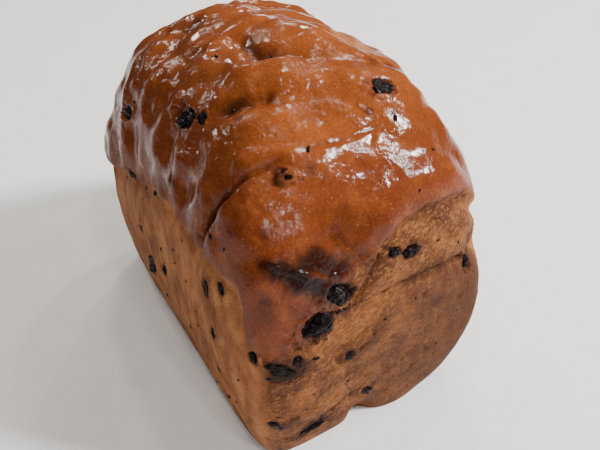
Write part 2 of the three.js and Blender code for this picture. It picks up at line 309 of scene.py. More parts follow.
def rim_height(p):
    side = RIM_SIDE - RIM_SIDE_SAG * (p[:, 0] - RIM_SIDE_TOP) ** 2
    end = RIM_END_LOW + (RIM_END_HIGH - RIM_END_LOW) * ease(*RIM_END_RISES, across_end(p))
    end = end - RIM_END_DROP * ease(*RIM_END_DROPS, across_end(p))
    return side + (end - side) * ease(*RIM_TURNS, along_loaf(p))


def rim_lip(p, out, rim):
    above = p[:, 2] - rim
    swell = ease(*LIP_RISES, above) * (1 - ease(*LIP_SINKS, above))
    flank = 1 - ease(*LIP_FLANK, out[:, 2])
    from_corner = np.hypot(p[:, 0] - SMOOTH_CORNER[0], p[:, 1] - SMOOTH_CORNER[1])
    flank = flank * (1 - SMOOTH_CORNER_SHARE * bell(from_corner, SMOOTH_CORNER_REACH))
    return (RIM_LIP * swell - RIM_TUCK * bell(above + TUCK_REACH, TUCK_REACH)) * flank


rims = rim_height(np.array([[0, -50, 80], [LENGTH / 2, -40, 80], [LENGTH / 2, 10, 80]]))
print(f"The rim is {rims[0]:.0f} mm up on a side, and {rims[1]:.0f} to {rims[2]:.0f} mm on an end")

# %% [markdown]
# ### Creases and the notch
#
# The dough was rolled up, and the end of the roll shows as a crease across each end, with the dough
# swollen above and below it. Under the near end the roll left a notch at the base. Both are bell curves
# across a line, because a soft crease has no sharp edge.

# %% The creases and the notch
END_CREASE_HEIGHT = 69
FAR_CREASE_HEIGHT = 58
END_CREASE_STARTS = (-26, -8)  # places across the end
FAR_CREASE_STARTS = (-30, -12)
CREASE_DEPTH = 2
CREASE_WIDTH = 3
CREASE_WAVE = 1.5
CREASE_WAVE_SIZE = 9
CREASE_SWELL = 0.8
CREASE_SWELLS = [(12, 8), (-14, 10)]  # how far above the crease each swell is, and its width
ON_END = (0.4, 0.8)  # how squarely the crust faces along the loaf
NOTCH_PLACE = -5
NOTCH_DEPTH = 4.5
NOTCH_WIDTH = 5
NOTCH_FADES = (3, 14)  # heights
NOTCH_ON_END = (0.5, 0.9)


def creases(p, out):
    y, z = p[:, 1], p[:, 2]
    wave = CREASE_WAVE * np.sin(y / CREASE_WAVE_SIZE)

    def form(above):
        swell = sum(bell(above - middle, width) for middle, width in CREASE_SWELLS)
        return CREASE_SWELL * swell - CREASE_DEPTH * bell(above, CREASE_WIDTH)

    near = ease(*ON_END, out[:, 0]) * ease(*END_CREASE_STARTS, y)
    far = ease(*ON_END, -out[:, 0]) * ease(*FAR_CREASE_STARTS, -y)
    return near * form(z - END_CREASE_HEIGHT - wave) + far * form(z - FAR_CREASE_HEIGHT + wave)


def notch(p, out):
    low = 1 - ease(*NOTCH_FADES, p[:, 2])
    across = bell(p[:, 1] - NOTCH_PLACE, NOTCH_WIDTH)
    return -NOTCH_DEPTH * across * low * ease(*NOTCH_ON_END, out[:, 0])


print(f"Creases {CREASE_DEPTH} mm deep, a notch {NOTCH_DEPTH} mm deep")

# %% [markdown]
# ### The lap seam
#
# The last turn of the roll laps over the dough under it. The seam climbs the left side near the camera
# and crosses the dome. Low down it is a deep crevice with the near dough overlapping it, and on the dome
# it thins to a line. One path carries all of it, and a little noise makes its edge ragged.

# %% The lap seam
SEAM = [
    (43, -50, 84), (43, -48, 92), (44, -46, 100), (46, -42, 107), (48, -37, 113),
    (51, -31, 118), (52, -23, 121), (55, -9, 122), (55, 9, 122),
]
SEAM_RAGGED = 0.9
SEAM_RAGGED_SIZE = 6
SEAM_CREVICE_DEPTH = 3.6
SEAM_CREVICE_WIDTH = 1.1
SEAM_DEEP_FROM = (0, 0.1)  # places along the seam, from 0 to 1
SEAM_DEEP_TO = (0.35, 0.7)
SEAM_VALLEY_DEPTH = 1.1
SEAM_VALLEY_WIDTH = 4
SEAM_VALLEY_IN_FRONT = 0.3  # as a share of the depth behind
SEAM_OVERLAP = 2.4
OVERLAP_RISES = (0, 2.2)  # distances from the seam
OVERLAP_SINKS = (6, 20)
SEAM_LINE_DEPTH = 0.3
SEAM_LINE_WIDTH = 0.7
SEAM_LINE_FROM = (0.4, 0.6)
SEAM_ENDS = (0.97, 1)
SEAM_SHADE_WIDTH = 1.3
SEAM_SHADE_FADES = (0.3, 0.6)
SEAM_SHADE_LOST = 0.75


def near_seam(p):
    ragged = noise_at(p, SEAM_RAGGED_SIZE, octaves=2, place=37)
    return nearest_on(SEAM, p + SEAM_RAGGED * ragged[:, None])


def lap_seam(p):
    gap, along, away = near_seam(p)
    deep = (1 - ease(*SEAM_DEEP_TO, along)) * ease(*SEAM_DEEP_FROM, along)
    behind = away[:, 0] < 0
    swell = np.where(behind, SEAM_OVERLAP / 2, SEAM_OVERLAP)
    swell = swell * ease(*OVERLAP_RISES, gap) * (1 - ease(*OVERLAP_SINKS, gap))
    valley = np.where(behind, SEAM_VALLEY_DEPTH, SEAM_VALLEY_IN_FRONT * SEAM_VALLEY_DEPTH)
    fold = SEAM_CREVICE_DEPTH * bell(gap, SEAM_CREVICE_WIDTH) + valley * bell(gap, SEAM_VALLEY_WIDTH)
    line = SEAM_LINE_DEPTH * bell(gap, SEAM_LINE_WIDTH) * ease(*SEAM_LINE_FROM, along)
    return (swell - fold) * deep - line * (1 - ease(*SEAM_ENDS, along))


def seam_shade(p):
    """How dark the seam is, from 0 to 1."""
    gap, along, _ = near_seam(p)
    dark = bell(gap, SEAM_SHADE_WIDTH) * (1 - SEAM_SHADE_LOST * ease(*SEAM_SHADE_FADES, along))
    return dark * (1 - ease(*SEAM_ENDS, along))


print(f"The seam has {len(SEAM)} points and is {SEAM_CREVICE_DEPTH} mm deep at its foot")

# %% [markdown]
# ### Furrows and folds of the dome
#
# The dome's skin stretched and sank as it baked, which left furrows, ridges and a few sharper folds.
# Each is a straight stroke seen from above. A list of strokes puts them where the photograph shows them,
# which noise can't do.

# %% Furrows and folds
# Furrows as seen from above: from, to, width, depth. A negative depth is a ridge.
FURROWS = [
    ((22, -36), (34, -21), 4, 1.8),
    ((-2, -14), (14, -13), 4, 1.7),
    ((14, -13), (31, 12), 5, 2),
    ((-3, -2), (12, 8), 8, -2),
    ((42, -8), (58, 8), 9, 1.2),
    ((-34, -24), (-12, -30), 7, 2),
    ((-30, -8), (-12, 4), 8, -1.4),
    ((-52, 8), (-34, 24), 7, 2.2),
    ((-22, 14), (-14, 34), 6, 2.2),
    ((-4, 16), (0, 26), 5, 2),
    ((8, 30), (26, 34), 9, -2.6),
    ((33, 22), (36, 40), 5, 1.2),
    ((-66, -42), (-44, -48), 10, 1.4),
    ((58, 30), (72, 46), 14, 2.6),
]

# Sharper folds, told in the same way
FOLDS = [
    ((45, -36), (53, -23), 2.0, -0.9),
    ((49, -37), (56, -20), 1.6, 0.6),
    ((54, -33), (61, -18), 2.2, 0.9),
    ((26, -32), (32, -20), 1.6, 1.2),
    ((2, -13), (17, -14), 2.0, 1.2),
    ((17, -13), (22, -1), 1.8, 1.0),
    ((30, 19), (37, 30), 2.4, -1.0),
    ((47, 4), (52, 8), 1.0, 0.5),
    ((-30, -22), (-20, -14), 2.2, 0.8),
    ((-14, -26), (-2, -18), 2.4, -0.7),
    ((36, -6), (46, -10), 2.2, 0.6),
    ((60, 6), (70, 14), 2.6, -0.6),
    ((62, -4), (67, 12), 2.0, 0.5),
    ((-50, -14), (-38, -26), 2.4, 0.8),
    ((-44, 2), (-30, -2), 2.0, 0.7),
    ((-60, 18), (-52, 30), 2.2, 0.8),
    ((-10, 30), (2, 38), 2.2, 0.7),
]
DOME_ONLY = (0.35, 0.75)  # upward slopes between which the strokes appear


def grooves(p, out, strokes):
    from_above = p * (1, 1, 0)
    depth = np.zeros(len(p))
    for start, end, width, deep in strokes:
        gap = nearest_on([(*start, 0), (*end, 0)], from_above)[0]
        depth += deep * bell(gap, width)
    return -depth * ease(*DOME_ONLY, out[:, 2])


print(f"{len(FURROWS)} furrows and {len(FOLDS)} folds")

# %% [markdown]
# ### Swells, lumps and pleats
#
# Dough never fills a tin evenly: here and there it swells or stays back by a few millimetres, and all
# of it is a little lumpy. On the dome's flanks the skin hangs in soft vertical pleats. Swells are placed
# one by one, and lumps and pleats are sine waves with some noise, because they repeat.

# %% Swells, lumps and pleats
# Round a point, how far the swell reaches, and its height
SWELLS = [
    ((-75, -49, 97), 21, -5),
    ((-62, -52, 82), 9, 2.4),
    ((76, 50, 76), 17, -2.8),
    ((66, 44, 110), 16, -2),
    ((76, 12, 2), 13, 3),
    ((70, 40, 22), 18, 1.6),
]
LUMP_HEIGHT = 0.4
DOME_LUMP_HEIGHT = 0.9
LUMPS_ON_DOME = (0.1, 0.7)
PLEAT_SPACING = 19
PLEAT_HEIGHT = 0.5
FINE_PLEAT_SPACING = 8.5
FINE_PLEAT_HEIGHT = 0.22
PLEATS_FROM = (66, 84)  # heights
PLEATS_TO = (108, 124)
PLEAT_LEAN = 0.25
PLEAT_LEAN_ABOUT = 90
PLEAT_SWAY = 3
PLEAT_SWAY_SIZE = 17
PLEATS_SIDEWAYS = (0.35, 0.8)  # they hang where the crust faces sideways more than this
PLEATS_UPWARD = (0.6, 0.9)  # and upward less than this
PLEAT_DRIFT = 0.5  # how far noise shifts a fine pleat, in pleats
PLEAT_DRIFT_SIZE = 16
PLEAT_CHANGE_SIZE = 14
FINE_PLEAT_MIDDLE = 0.6


def swells(p):
    height = np.zeros(len(p))
    for middle, reach, high in SWELLS:
        height += high * bell(np.linalg.norm(p - middle, axis=1), reach)
    return height


def lumps(p, out):
    x, y, z = p.T
    # Slow waves of unlike lengths, so that no row of lumps shows
    slow = np.sin(x / 14 + 1.1) * np.cos(y / 11 + 0.4)
    slow += 0.7 * np.sin(x / 9 - y / 11 + 2.2) * np.sin(z / 12)
    on_dome = ease(*LUMPS_ON_DOME, out[:, 2])
    return slow * (LUMP_HEIGHT + (DOME_LUMP_HEIGHT - LUMP_HEIGHT) * on_dome)


def pleats(p, out):
    x, z = p[:, 0], p[:, 2]
    flank = ease(*PLEATS_SIDEWAYS, np.abs(out[:, 1])) * (1 - ease(*PLEATS_UPWARD, out[:, 2]))
    band = ease(*PLEATS_FROM, z) * (1 - ease(*PLEATS_TO, z))
    sway = PLEAT_SWAY * np.sin(x / PLEAT_SWAY_SIZE)
    place = x + PLEAT_LEAN * (z - PLEAT_LEAN_ABOUT) + sway
    broad = PLEAT_HEIGHT * np.sin(2 * math.pi * place / PLEAT_SPACING)
    turns = place / FINE_PLEAT_SPACING + PLEAT_DRIFT * noise_at(p, PLEAT_DRIFT_SIZE, place=3)
    fine = FINE_PLEAT_HEIGHT * (FINE_PLEAT_MIDDLE - np.sin(math.pi * turns) ** 2)
    fine = fine * (1 + noise_at(p, PLEAT_CHANGE_SIZE, place=4))
    return (broad + fine) * flank * band


print(f"{len(SWELLS)} swells, and pleats {PLEAT_SPACING} mm apart")

# %% [markdown]
# ### Cracks
#
# Crust tears where the dough still rose under a skin that was already dry: along the end's crease, round
# the burnt hollow over the near corner, and in fine lines. A tear also lifts thin ridges. They are
# listed paths. A path may run a little above or under the crust, so close by only the sideways
# distance from it counts.

# %% Cracks
# A path on the crust, and the crack's width and depth. A negative depth is a thin ridge.
CRACKS = [
    ([(76, -33, 63), (76, -23, 67), (75, -12, 71), (75, 3, 70), (75, 18, 69), (74, 46, 67)], 0.8, 1.7),
    ([(73, -2, 87), (74, -8, 81), (75, -13, 74), (75, -21, 71)], 0.9, 1.7),
    ([(73, -16, 85), (73, -10, 87), (73, -4, 88)], 0.7, 1.0),
    ([(76, -25, 44), (76, -17, 48), (76, -7, 53)], 0.7, 0.8),
    ([(75, -40, 26), (76, -33, 28), (76, -24, 29)], 0.7, 0.6),
    ([(73, -37, 10), (74, -31, 13), (75, -25, 17), (75, -11, 24)], 1.1, 1.1),
    ([(75, -11, 19), (76, -14, 27), (76, -17, 34)], 0.6, 0.5),
    ([(74, -46, 52), (75, -40, 48), (76, -33, 50)], 0.8, 0.8),
    ([(74, -46, 44), (75, -41, 42), (76, -36, 44)], 0.7, 0.6),
    ([(76, -24, 54), (76, -16, 55), (76, -8, 59)], 0.8, 0.8),
    ([(66, -40, 94), (71, -35, 89), (72, -32, 85), (74, -26, 82)], 0.8, 0.5),
    ([(67, -38, 95), (71, -32, 90), (74, -23, 82)], 0.8, 0.25),
    ([(67, -36, 96), (71, -29, 92), (73, -21, 87)], 0.8, 0.25),
    ([(69, -31, 95), (72, -25, 88), (74, -21, 84)], 0.8, 0.2),
    ([(69, -18, 100), (71, -15, 95), (72, -9, 89), (74, -5, 85)], 0.8, 0.25),
    ([(69, -37, 92), (71, -35, 89), (72, -32, 85), (73, -29, 83)], 0.8, -0.9),
    ([(70, -33, 93), (72, -28, 90), (73, -23, 87)], 0.7, -0.7),
    ([(67, -38, 94), (70, -33, 91), (72, -29, 88)], 0.7, -0.6),
    ([(72, -26, 92), (73, -20, 87), (74, -17, 83)], 0.7, -0.6),
    ([(71, -19, 97), (73, -13, 91), (74, -8, 86)], 0.7, -0.5),
    ([(73, -15, 86), (73, -9, 87), (73, -3, 87)], 1.2, -0.8),
    ([(-76, -30, 59), (-76, 0, 57), (-76, 34, 60)], 0.7, 1.2),
    ([(-30, 52, 44), (-4, 53, 47), (22, 52, 45)], 0.9, 0.8),
    ([(-76, -34, 30), (-76, -12, 36)], 0.8, 0.8),
    ([(-76, 10, 84), (-75, 20, 76), (-74, 30, 72)], 0.8, 1.1),
    ([(20, 52, 66), (34, 52, 72), (50, 51, 70)], 0.8, 0.9),
]
CRACK_RAGGED = 0.8
CRACK_RAGGED_SIZE = 3
CRACK_UNEVEN = (0.75, 0.5)  # its depth, and how much noise changes that, as shares of the depth
CRACK_STARTS = (0, 0.08)  # places along the path, from 0 to 1
CRACK_ENDS = (0.9, 1)
CRACK_NEAR = 5


def cracks(p, out):
    depth = np.zeros(len(p))
    ragged = noise_at(p, CRACK_RAGGED_SIZE, octaves=2, place=5)
    uneven = CRACK_UNEVEN[0] + CRACK_UNEVEN[1] * ragged
    for path, width, deep in CRACKS:
        gap, along, away = nearest_on(path, p + CRACK_RAGGED * ragged[:, None])
        sideways = np.linalg.norm(away - (away * out).sum(1)[:, None] * out, axis=1)
        gap = np.where(gap < CRACK_NEAR, sideways, gap)
        ends = ease(*CRACK_STARTS, along) * (1 - ease(*CRACK_ENDS, along))
        depth += deep * bell(gap, width) * uneven * ends
    return depth


print(f"{len(CRACKS)} cracks and ridges")

# %% [markdown]
# ### Blisters and tin marks
#
# Under egg wash the dome's skin blisters and dries in wrinkles, in patches with smooth skin between.
# Against the tin the dough stays matte, is uneven from where it slid down, and has small pits where
# bubbles burst. Nobody could place these by hand, so they are noise at the sizes seen on the loaf.

# %% Blisters and tin marks
BUBBLE_STRETCH = (1, 0.6, 0.9)  # they are longer across the loaf
BUBBLE_SIZE = 12
BUBBLE_HEIGHT = 1.6
SMALL_BUBBLE_SIZE = 6  # smaller ones lie on the large ones
SMALL_BUBBLE_HEIGHT = 1.0
WRINKLE_SIZE = 3
WRINKLE_DEPTH = 0.4
WRINKLE_MIDDLE = 0.6
WRINKLE_PATCH_SIZE = 22
WRINKLE_PATCHES = (-0.2, 0.4)  # the noise between which a patch begins
SMOOTHER_END = (36, 56)  # towards the near end the dome is smoother
SMOOTHER_SHARE = 0.5
UNEVEN_SIZE = 19
UNEVEN_HEIGHT = 0.5
HANGING_STRETCH = (1, 1, 0.4)
HANGING_SIZE = 6
HANGING_HEIGHT = 0.35
PIT_SIZE = 4.5
PIT_DEPTH = 0.6
PIT_EDGE = (0.3, 0.65)  # the noise between which a pit begins


def blisters(p, glaze):
    across = p * BUBBLE_STRETCH
    bubbles = BUBBLE_HEIGHT * noise_at(across, BUBBLE_SIZE, place=7)
    small = SMALL_BUBBLE_HEIGHT * noise_at(across, SMALL_BUBBLE_SIZE, place=8)
    ridged = 1 - 2 * np.abs(noise_at(across, WRINKLE_SIZE, octaves=2, place=9))
    patches = ease(*WRINKLE_PATCHES, noise_at(p, WRINKLE_PATCH_SIZE, place=11))
    wrinkles = WRINKLE_DEPTH * patches * (ridged - WRINKLE_MIDDLE)
    rough_part = 1 - SMOOTHER_SHARE * ease(*SMOOTHER_END, p[:, 0])
    return glaze * rough_part * (bubbles + small + wrinkles)


def tin_marks(p, glaze):
    broad = UNEVEN_HEIGHT * noise_at(p, UNEVEN_SIZE, octaves=2, place=13)
    hanging = HANGING_HEIGHT * noise_at(p * HANGING_STRETCH, HANGING_SIZE, octaves=2, place=15)
    pits = -PIT_DEPTH * ease(*PIT_EDGE, noise_at(p, PIT_SIZE, octaves=2, place=17))
    return (1 - glaze) * (broad + hanging + pits)


print(f"Blisters {SMALL_BUBBLE_SIZE} and {BUBBLE_SIZE} mm across, pits {PIT_SIZE} mm across")

# %% [markdown]
# ## The grid of the crust
#
# The crust needs an even mesh. A ball's poles would pinch, but a cube with its faces cut in a grid has
# none. Its bottom is left as one flat face, because the tin's floor made it so. Cells of about a
# millimetre carry the wrinkles.

# %% Cut the cube
CELL_SIZE = 1.02
DOME_PATH_SHARE = 0.85  # the cube's sides end at the dome's shoulders, which are lower than its top


def edges_along(bm, axis):
    return [e for e in bm.edges if abs((e.verts[0].co - e.verts[1].co)[axis]) > 1e-6]


def cut_cube():
    bm = bmesh.new()
    bmesh.ops.create_cube(bm, size=2)
    bottom = [f for f in bm.faces if f.normal.z < -0.5]
    bmesh.ops.delete(bm, geom=bottom, context="FACES_ONLY")
    wall_path = MIDDLE_HEIGHT + DOME_PATH_SHARE * (HEIGHT - MIDDLE_HEIGHT)
    for axis, length in enumerate((LENGTH, WIDTH, wall_path)):
        cuts = round(length / CELL_SIZE) - 1
        bmesh.ops.subdivide_edges(bm, edges=edges_along(bm, axis), cuts=cuts, use_grid_fill=True)
    return bm


def cube_points(bm):
    return np.array([v.co for v in bm.verts])


crust_cube = cut_cube()
print(f"The cube has {len(crust_cube.faces)} faces")

# %% [markdown]
# ### Finer cells where the edges are sharp
#
# Finer cells everywhere would be slow. Round the currants, the seam and the cracks alone the cells are
# cut once more. This is done while the mesh is still a cube, because its edges are easy to divide then.

# %% Refine the cube
REFINE_ROUND_CURRANT = 1.5
REFINE_ROUND_LINE = 2.4
SEAM_CREVICE_POINTS = 4  # the deep part of the seam


def near_detail(p):
    near = np.zeros(len(p), bool)
    for seat in seats:
        off = p - seat["middle"]
        long, wide, _ = seat["axes"]
        reach_long, reach_wide, _ = seat["reach"]
        shape = (off @ long / reach_long) ** 2 + (off @ wide / reach_wide) ** 2
        near |= (shape < REFINE_ROUND_CURRANT**2) & (np.linalg.norm(off, axis=1) < 3 * reach_long)
    for path in [SEAM[:SEAM_CREVICE_POINTS], *[crack[0] for crack in CRACKS]]:
        near |= nearest_on(path, p)[0] < REFINE_ROUND_LINE
    return near


def refine(bm):
    near = near_detail(on_smooth_loaf(cube_points(bm)))
    bm.verts.index_update()
    edges = [e for e in bm.edges if near[e.verts[0].index] and near[e.verts[1].index]]
    bmesh.ops.subdivide_edges(bm, edges=edges, cuts=1, use_grid_fill=True)


refine(crust_cube)
print(f"Refined, it has {len(crust_cube.faces)} faces")

# %% [markdown]
# ## Where the egg wash is
#
# The brush covers the dome down to the rim and misses what is tucked under the lip. On the ends the
# glaze has a torn edge that runs down at the corners. Two patches on top stayed bare. The glaze could be
# a shell of its own, but it is far thinner than any mesh. So a mask says for each point how glazed it
# is. The mask is stored on the mesh, and the material will read it.

# %% The glaze's mask
# The glaze's lower edge on an end: pairs of a place across the end and a height
GLAZE_ON_END = [
    (-50, 60), (-40, 62), (-30, 66), (-24, 72), (-18, 84), (-12, 88), (0, 90),
    (10, 95), (17, 99), (25, 98), (36, 95), (41, 91), (45, 82), (49, 70), (54, 62),
]
GLAZE_TURNS = (0.8, 0.9)  # where the side's edge becomes the end's, as shares of half the length
GLAZE_ABOVE_RIM = 1
GLAZE_EDGE = 1.5  # half the width of its soft edge, and at the left corners
GLAZE_EDGE_AT_CORNER = 6
LEFT_CORNERS = ((50, 68), (10, 30))  # distances from the loaf's middle, along it and to the left
GLAZE_RAGGED = 1.2
GLAZE_RAGGED_SIZE = 5
GLAZE_WAVE = 1.5
GLAZE_WAVE_SIZE = 11
# From, to and width, as seen from above
BARE_PATCHES = [((2, 22), (17, 24), 4), ((-40, 34), (-30, 38), 3)]
ON_TOP = (100, 110)


def glaze_mask(p, rim):
    end = np.interp(across_end(p), *zip(*GLAZE_ON_END))
    rim = rim + GLAZE_ABOVE_RIM
    rim = rim + (end - rim) * ease(*GLAZE_TURNS, along_loaf(p))
    ragged = GLAZE_RAGGED * noise_at(p, GLAZE_RAGGED_SIZE, octaves=3, place=19)
    ragged = ragged + GLAZE_WAVE * noise_at(p, GLAZE_WAVE_SIZE, place=20)
    at_corner = ease(*LEFT_CORNERS[0], np.abs(p[:, 0])) * ease(*LEFT_CORNERS[1], -p[:, 1])
    soft = GLAZE_EDGE + (GLAZE_EDGE_AT_CORNER - GLAZE_EDGE) * at_corner
    glaze = ease(-1, 1, (p[:, 2] - rim + ragged) / soft)
    for start, end, width in BARE_PATCHES:
        gap = nearest_on([(*start, 0), (*end, 0)], p * (1, 1, 0))[0]
        glaze *= 1 - ease(*ON_TOP, p[:, 2]) * bell(gap / width + 0.3 * ragged, 1.0)
    return glaze


print(f"{len(BARE_PATCHES)} bare patches on top of the dome")

# %% [markdown]
# ### Burns
#
# Sugar that seeps out of the currants burns nearly black, most of all in the hollow over the near
# corner. Noise could darken the crust at random, but the burns are seen one by one. So each is a given
# path, and noise only makes its edge ragged.

# %% The burns' mask
BURNS = [
    # a path on the crust, how far the burn reaches, and how burnt it is
    ([(65, -40, 95), (69, -36, 93)], 2.4, 0.9),
    ([(68, -36, 93), (71, -32, 89), (73, -27, 86)], 5.0, 1.0),
    ([(73, -26, 85), (74, -21, 81), (74, -18, 80)], 6, 0.85),
    ([(70, -29, 94), (73, -20, 89)], 5.5, 0.9),
    ([(69, -18, 100), (71, -15, 95), (72, -9, 89)], 3.5, 0.5),
    ([(68, -19, 103), (70, -8, 99), (71, -1, 94)], 6, 0.3),
    ([(68, -43, 83), (70, -42, 78)], 3, 0.35),
    ([(74, -34, 78), (74, -31, 74)], 4, 0.5),
    ([(75, -47, 57), (76, -41, 52), (76, -34, 54)], 3.8, 0.85),
    ([(75, -44, 27), (76, -38, 24)], 3.5, 0.55),
    ([(73, -37, 11), (75, -26, 17)], 3, 0.55),
    ([(76, -12, 48), (76, -5, 51)], 3, 0.45),
    ([(24, -32, 125), (27, -26, 128)], 2, 0.6),
    ([(8, -12, 135), (18, -12, 135), (20, -5, 135)], 1.6, 0.3),
    ([(-76, -14, 82), (-74, 8, 92)], 6, 0.5),
    ([(-30, 44, 108), (-16, 42, 112)], 5, 0.4),
]
BURN_EDGE = (0.2, 1.5)  # a burn fades between these shares of its reach
BURN_RAGGED = 0.5
BURN_RAGGED_SIZE = 6


def burn_mask(p):
    burnt = np.zeros(len(p))
    ragged = noise_at(p, BURN_RAGGED_SIZE, octaves=4, place=23)
    for path, reach, strength in BURNS:
        gap = nearest_on(path, p)[0]
        fade = ease(*BURN_EDGE, gap / reach + BURN_RAGGED * ragged)
        burnt = np.maximum(burnt, strength * (1 - fade))
    return burnt


print(f"{len(BURNS)} burns, the widest reaching {max(burn[1] for burn in BURNS)} mm")

# %% [markdown]
# ### Stains
#
# Berries that lie just under the skin stain it purple-brown. A small solid under the crust would need
# the crust to be clear, so the stain is a mask too: a round spot with a ragged edge.

# %% The stains' mask
STAINS = [
    # berries that lie under the skin: a place, how far the stain reaches, and its strength
    ((18, -47, 99), 3, 0.6),
    ((55, -29, 117), 3, 0.8),
    ((59, -20, 118), 2.5, 0.6),
    ((32, 20, 130), 3, 0.55),
    ((33, 28, 127), 3.5, 0.55),
    ((50, 7, 125), 2.4, 0.6),
    ((53, 15, 123), 2.0, 0.6),
    ((17, -9, 135), 2.6, 0.6),
    ((-28, -17, 132), 3, 0.5),
    ((76, 22, 55), 3.2, 0.6),
    ((76, 27, 55), 3.0, 0.45),
    ((75, -2, 22), 3.0, 0.8),
    ((74, -42, 23), 1.6, 0.9),
    ((69, -42, 83), 2.0, 0.6),
    ((54, -44, 101), 1.4, 0.7),
    ((62, -38, 103), 2.4, 0.5),
    ((73, 37, 14), 5, 0.55),
    ((76, -45, 47), 4, 0.4),
    ((75, -41, 57), 5, 0.75),
    ((75, -33, 58), 4, 0.5),
    ((43, -51, 76), 4.5, 0.4),
    ((52, -49, 79), 3.5, 0.4),
    ((76, -15, 52), 4.5, 0.35),
    ((-76, 24, 44), 3, 0.5),
    ((-40, 52, 52), 3, 0.5),
    ((38, 52, 28), 3, 0.5),
]
STAIN_EDGE = (0.3, 1.3)
STAIN_RAGGED = 0.6
STAIN_RAGGED_SIZE = 3


def stain_mask(p):
    stained = np.zeros(len(p))
    ragged = noise_at(p, STAIN_RAGGED_SIZE, octaves=3, place=25)
    for place, reach, strength in STAINS:
        gap = np.linalg.norm(p - place, axis=1)
        fade = ease(*STAIN_EDGE, gap / reach + STAIN_RAGGED * ragged)
        stained = np.maximum(stained, strength * (1 - fade))
    return stained


print(f"{len(STAINS)} stains, the widest reaching {max(stain[1] for stain in STAINS)} mm")

# %% [markdown]
# ## Seats of the currants
#
# Dough closes round a currant as it swells, so the crust meets each one in a ragged edge, part way up
# its side. The crust could be cut open there, but then every edge would show as a seam. Instead it
# is pulled to that edge and then down under the currant. Some currants are nearly covered.

# %% Seats of the currants
SEAT_LEVEL_SHARE = 0.42  # how high the dough closes, as a share of half the currant's thickness
NEARLY_COVERED = {
    "currant_top_25": 0.85, "currant_end_13": 0.55, "currant_end_14": 0.5, "currant_end_15": 0.58,
    "currant_end_16": 0.7, "currant_end_17": 0.62, "currant_end_18": 0.65, "currant_end_19": 0.52,
    "currant_end_20": 0.62, "currant_end_21": 0.55, "currant_left_06": 0.55, "currant_left_07": 0.55,
}
SEAT_RAGGED = 0.4
SEAT_RAGGED_SIZE = 2
SEAT_LIP = 0.3
SEAT_LIP_AT = 1.3  # this and the next are shares of the currant's half-width
SEAT_LIP_WIDTH = 0.22
SEAT_PULL = (0.95, 1.6)  # the crust is pulled to the edge within this distance
SEAT_UNDER_DEPTH = 0.7
SEAT_UNDER = (0.75, 0.96)  # shares of the opening that the dough leaves
SEAT_SHADE = (0.94, 1.5)
SEAT_REACH = 2.4  # further off than this, the currant doesn't touch the crust
SEAT_REACH_OUT = 3.5


def seat_currants(p):
    """Fits the crust round each currant, and says how much painted shade and stain the crust gets close
    beside one.
    """
    p = p.copy()
    close = np.zeros(len(p))
    uneven = noise_at(p, SEAT_RAGGED_SIZE, octaves=2, place=29)
    for seat in seats:
        off = p - seat["middle"]
        (long, wide, out), (reach_long, reach_wide, reach_out) = seat["axes"], seat["reach"]
        height = off @ out
        spread = np.hypot(off @ long / reach_long, off @ wide / reach_wide)
        spread = spread * (1 + SEAT_RAGGED * uneven)
        here = (spread < SEAT_REACH) & (np.abs(height) < SEAT_REACH_OUT * reach_out)
        share = NEARLY_COVERED.get(seat["name"], SEAT_LEVEL_SHARE)
        opening = math.sqrt(1 - share**2)
        level = (share * reach_out - height) * (1 - ease(*SEAT_PULL, spread))
        under_from, under_to = (part * opening for part in SEAT_UNDER)
        under = -SEAT_UNDER_DEPTH * reach_out * (1 - ease(under_from, under_to, spread))
        move = level + under + SEAT_LIP * bell(spread - SEAT_LIP_AT, SEAT_LIP_WIDTH)
        p[here] += move[here, None] * out
        # painted shade and stain, just outside the opening round the currant
        shade_from, shade_to = (part * opening for part in SEAT_SHADE)
        shade = 1 - ease(shade_from, shade_to, spread)
        close[here] = np.maximum(close[here], shade[here])
    return p, close


print(f"{len(NEARLY_COVERED)} currants are more deeply covered than the rest")

# %% [markdown]
# ## Put the crust together
#
# Each point of the refined cube goes onto the smooth loaf and is moved straight out by the sum of the
# relief. At the base it moves level instead, so that the base stays flat. The same numbers that shape
# the crust also say where painted shade darkens its hollows, so the masks come from the same place.

# %% Shape the crust
SCALLOP_SIZE = 8  # the rim is uneven
SCALLOP_DROP = 2.2
SCALLOP_STRETCH = (1, 1, 0.3)
END_RAGGED = 1.6  # on the ends the glazed edge is torn as well
END_RAGGED_SIZE = 4
ABOVE_BASE = (1, 9)
THIN_WASH = (3, 14)  # heights above the rim
STEEP_FLANK = (0.45, 0.88)  # the upward slopes between which the dome is browned and painted with shade
SHADE_AND_BROWNING_UNEVEN = 0.22
SHADE_AND_BROWNING_PATCH_SIZE = 20
END_FINISH = (0.5, 0.9)  # where the side's finish becomes the end's
BASE_LEVEL = 0.01
FURROW_SHADE = 0.14
FOLD_SHADE = 0.3
CRACK_SHADE = 0.7


def ragged_rim(smooth):
    scallops = SCALLOP_DROP * noise_at(smooth * SCALLOP_STRETCH, SCALLOP_SIZE, place=31)
    torn = END_RAGGED * noise_at(smooth, END_RAGGED_SIZE, octaves=2, place=35)
    return rim_height(smooth) + (scallops + torn * ease(*GLAZE_TURNS, along_loaf(smooth)))


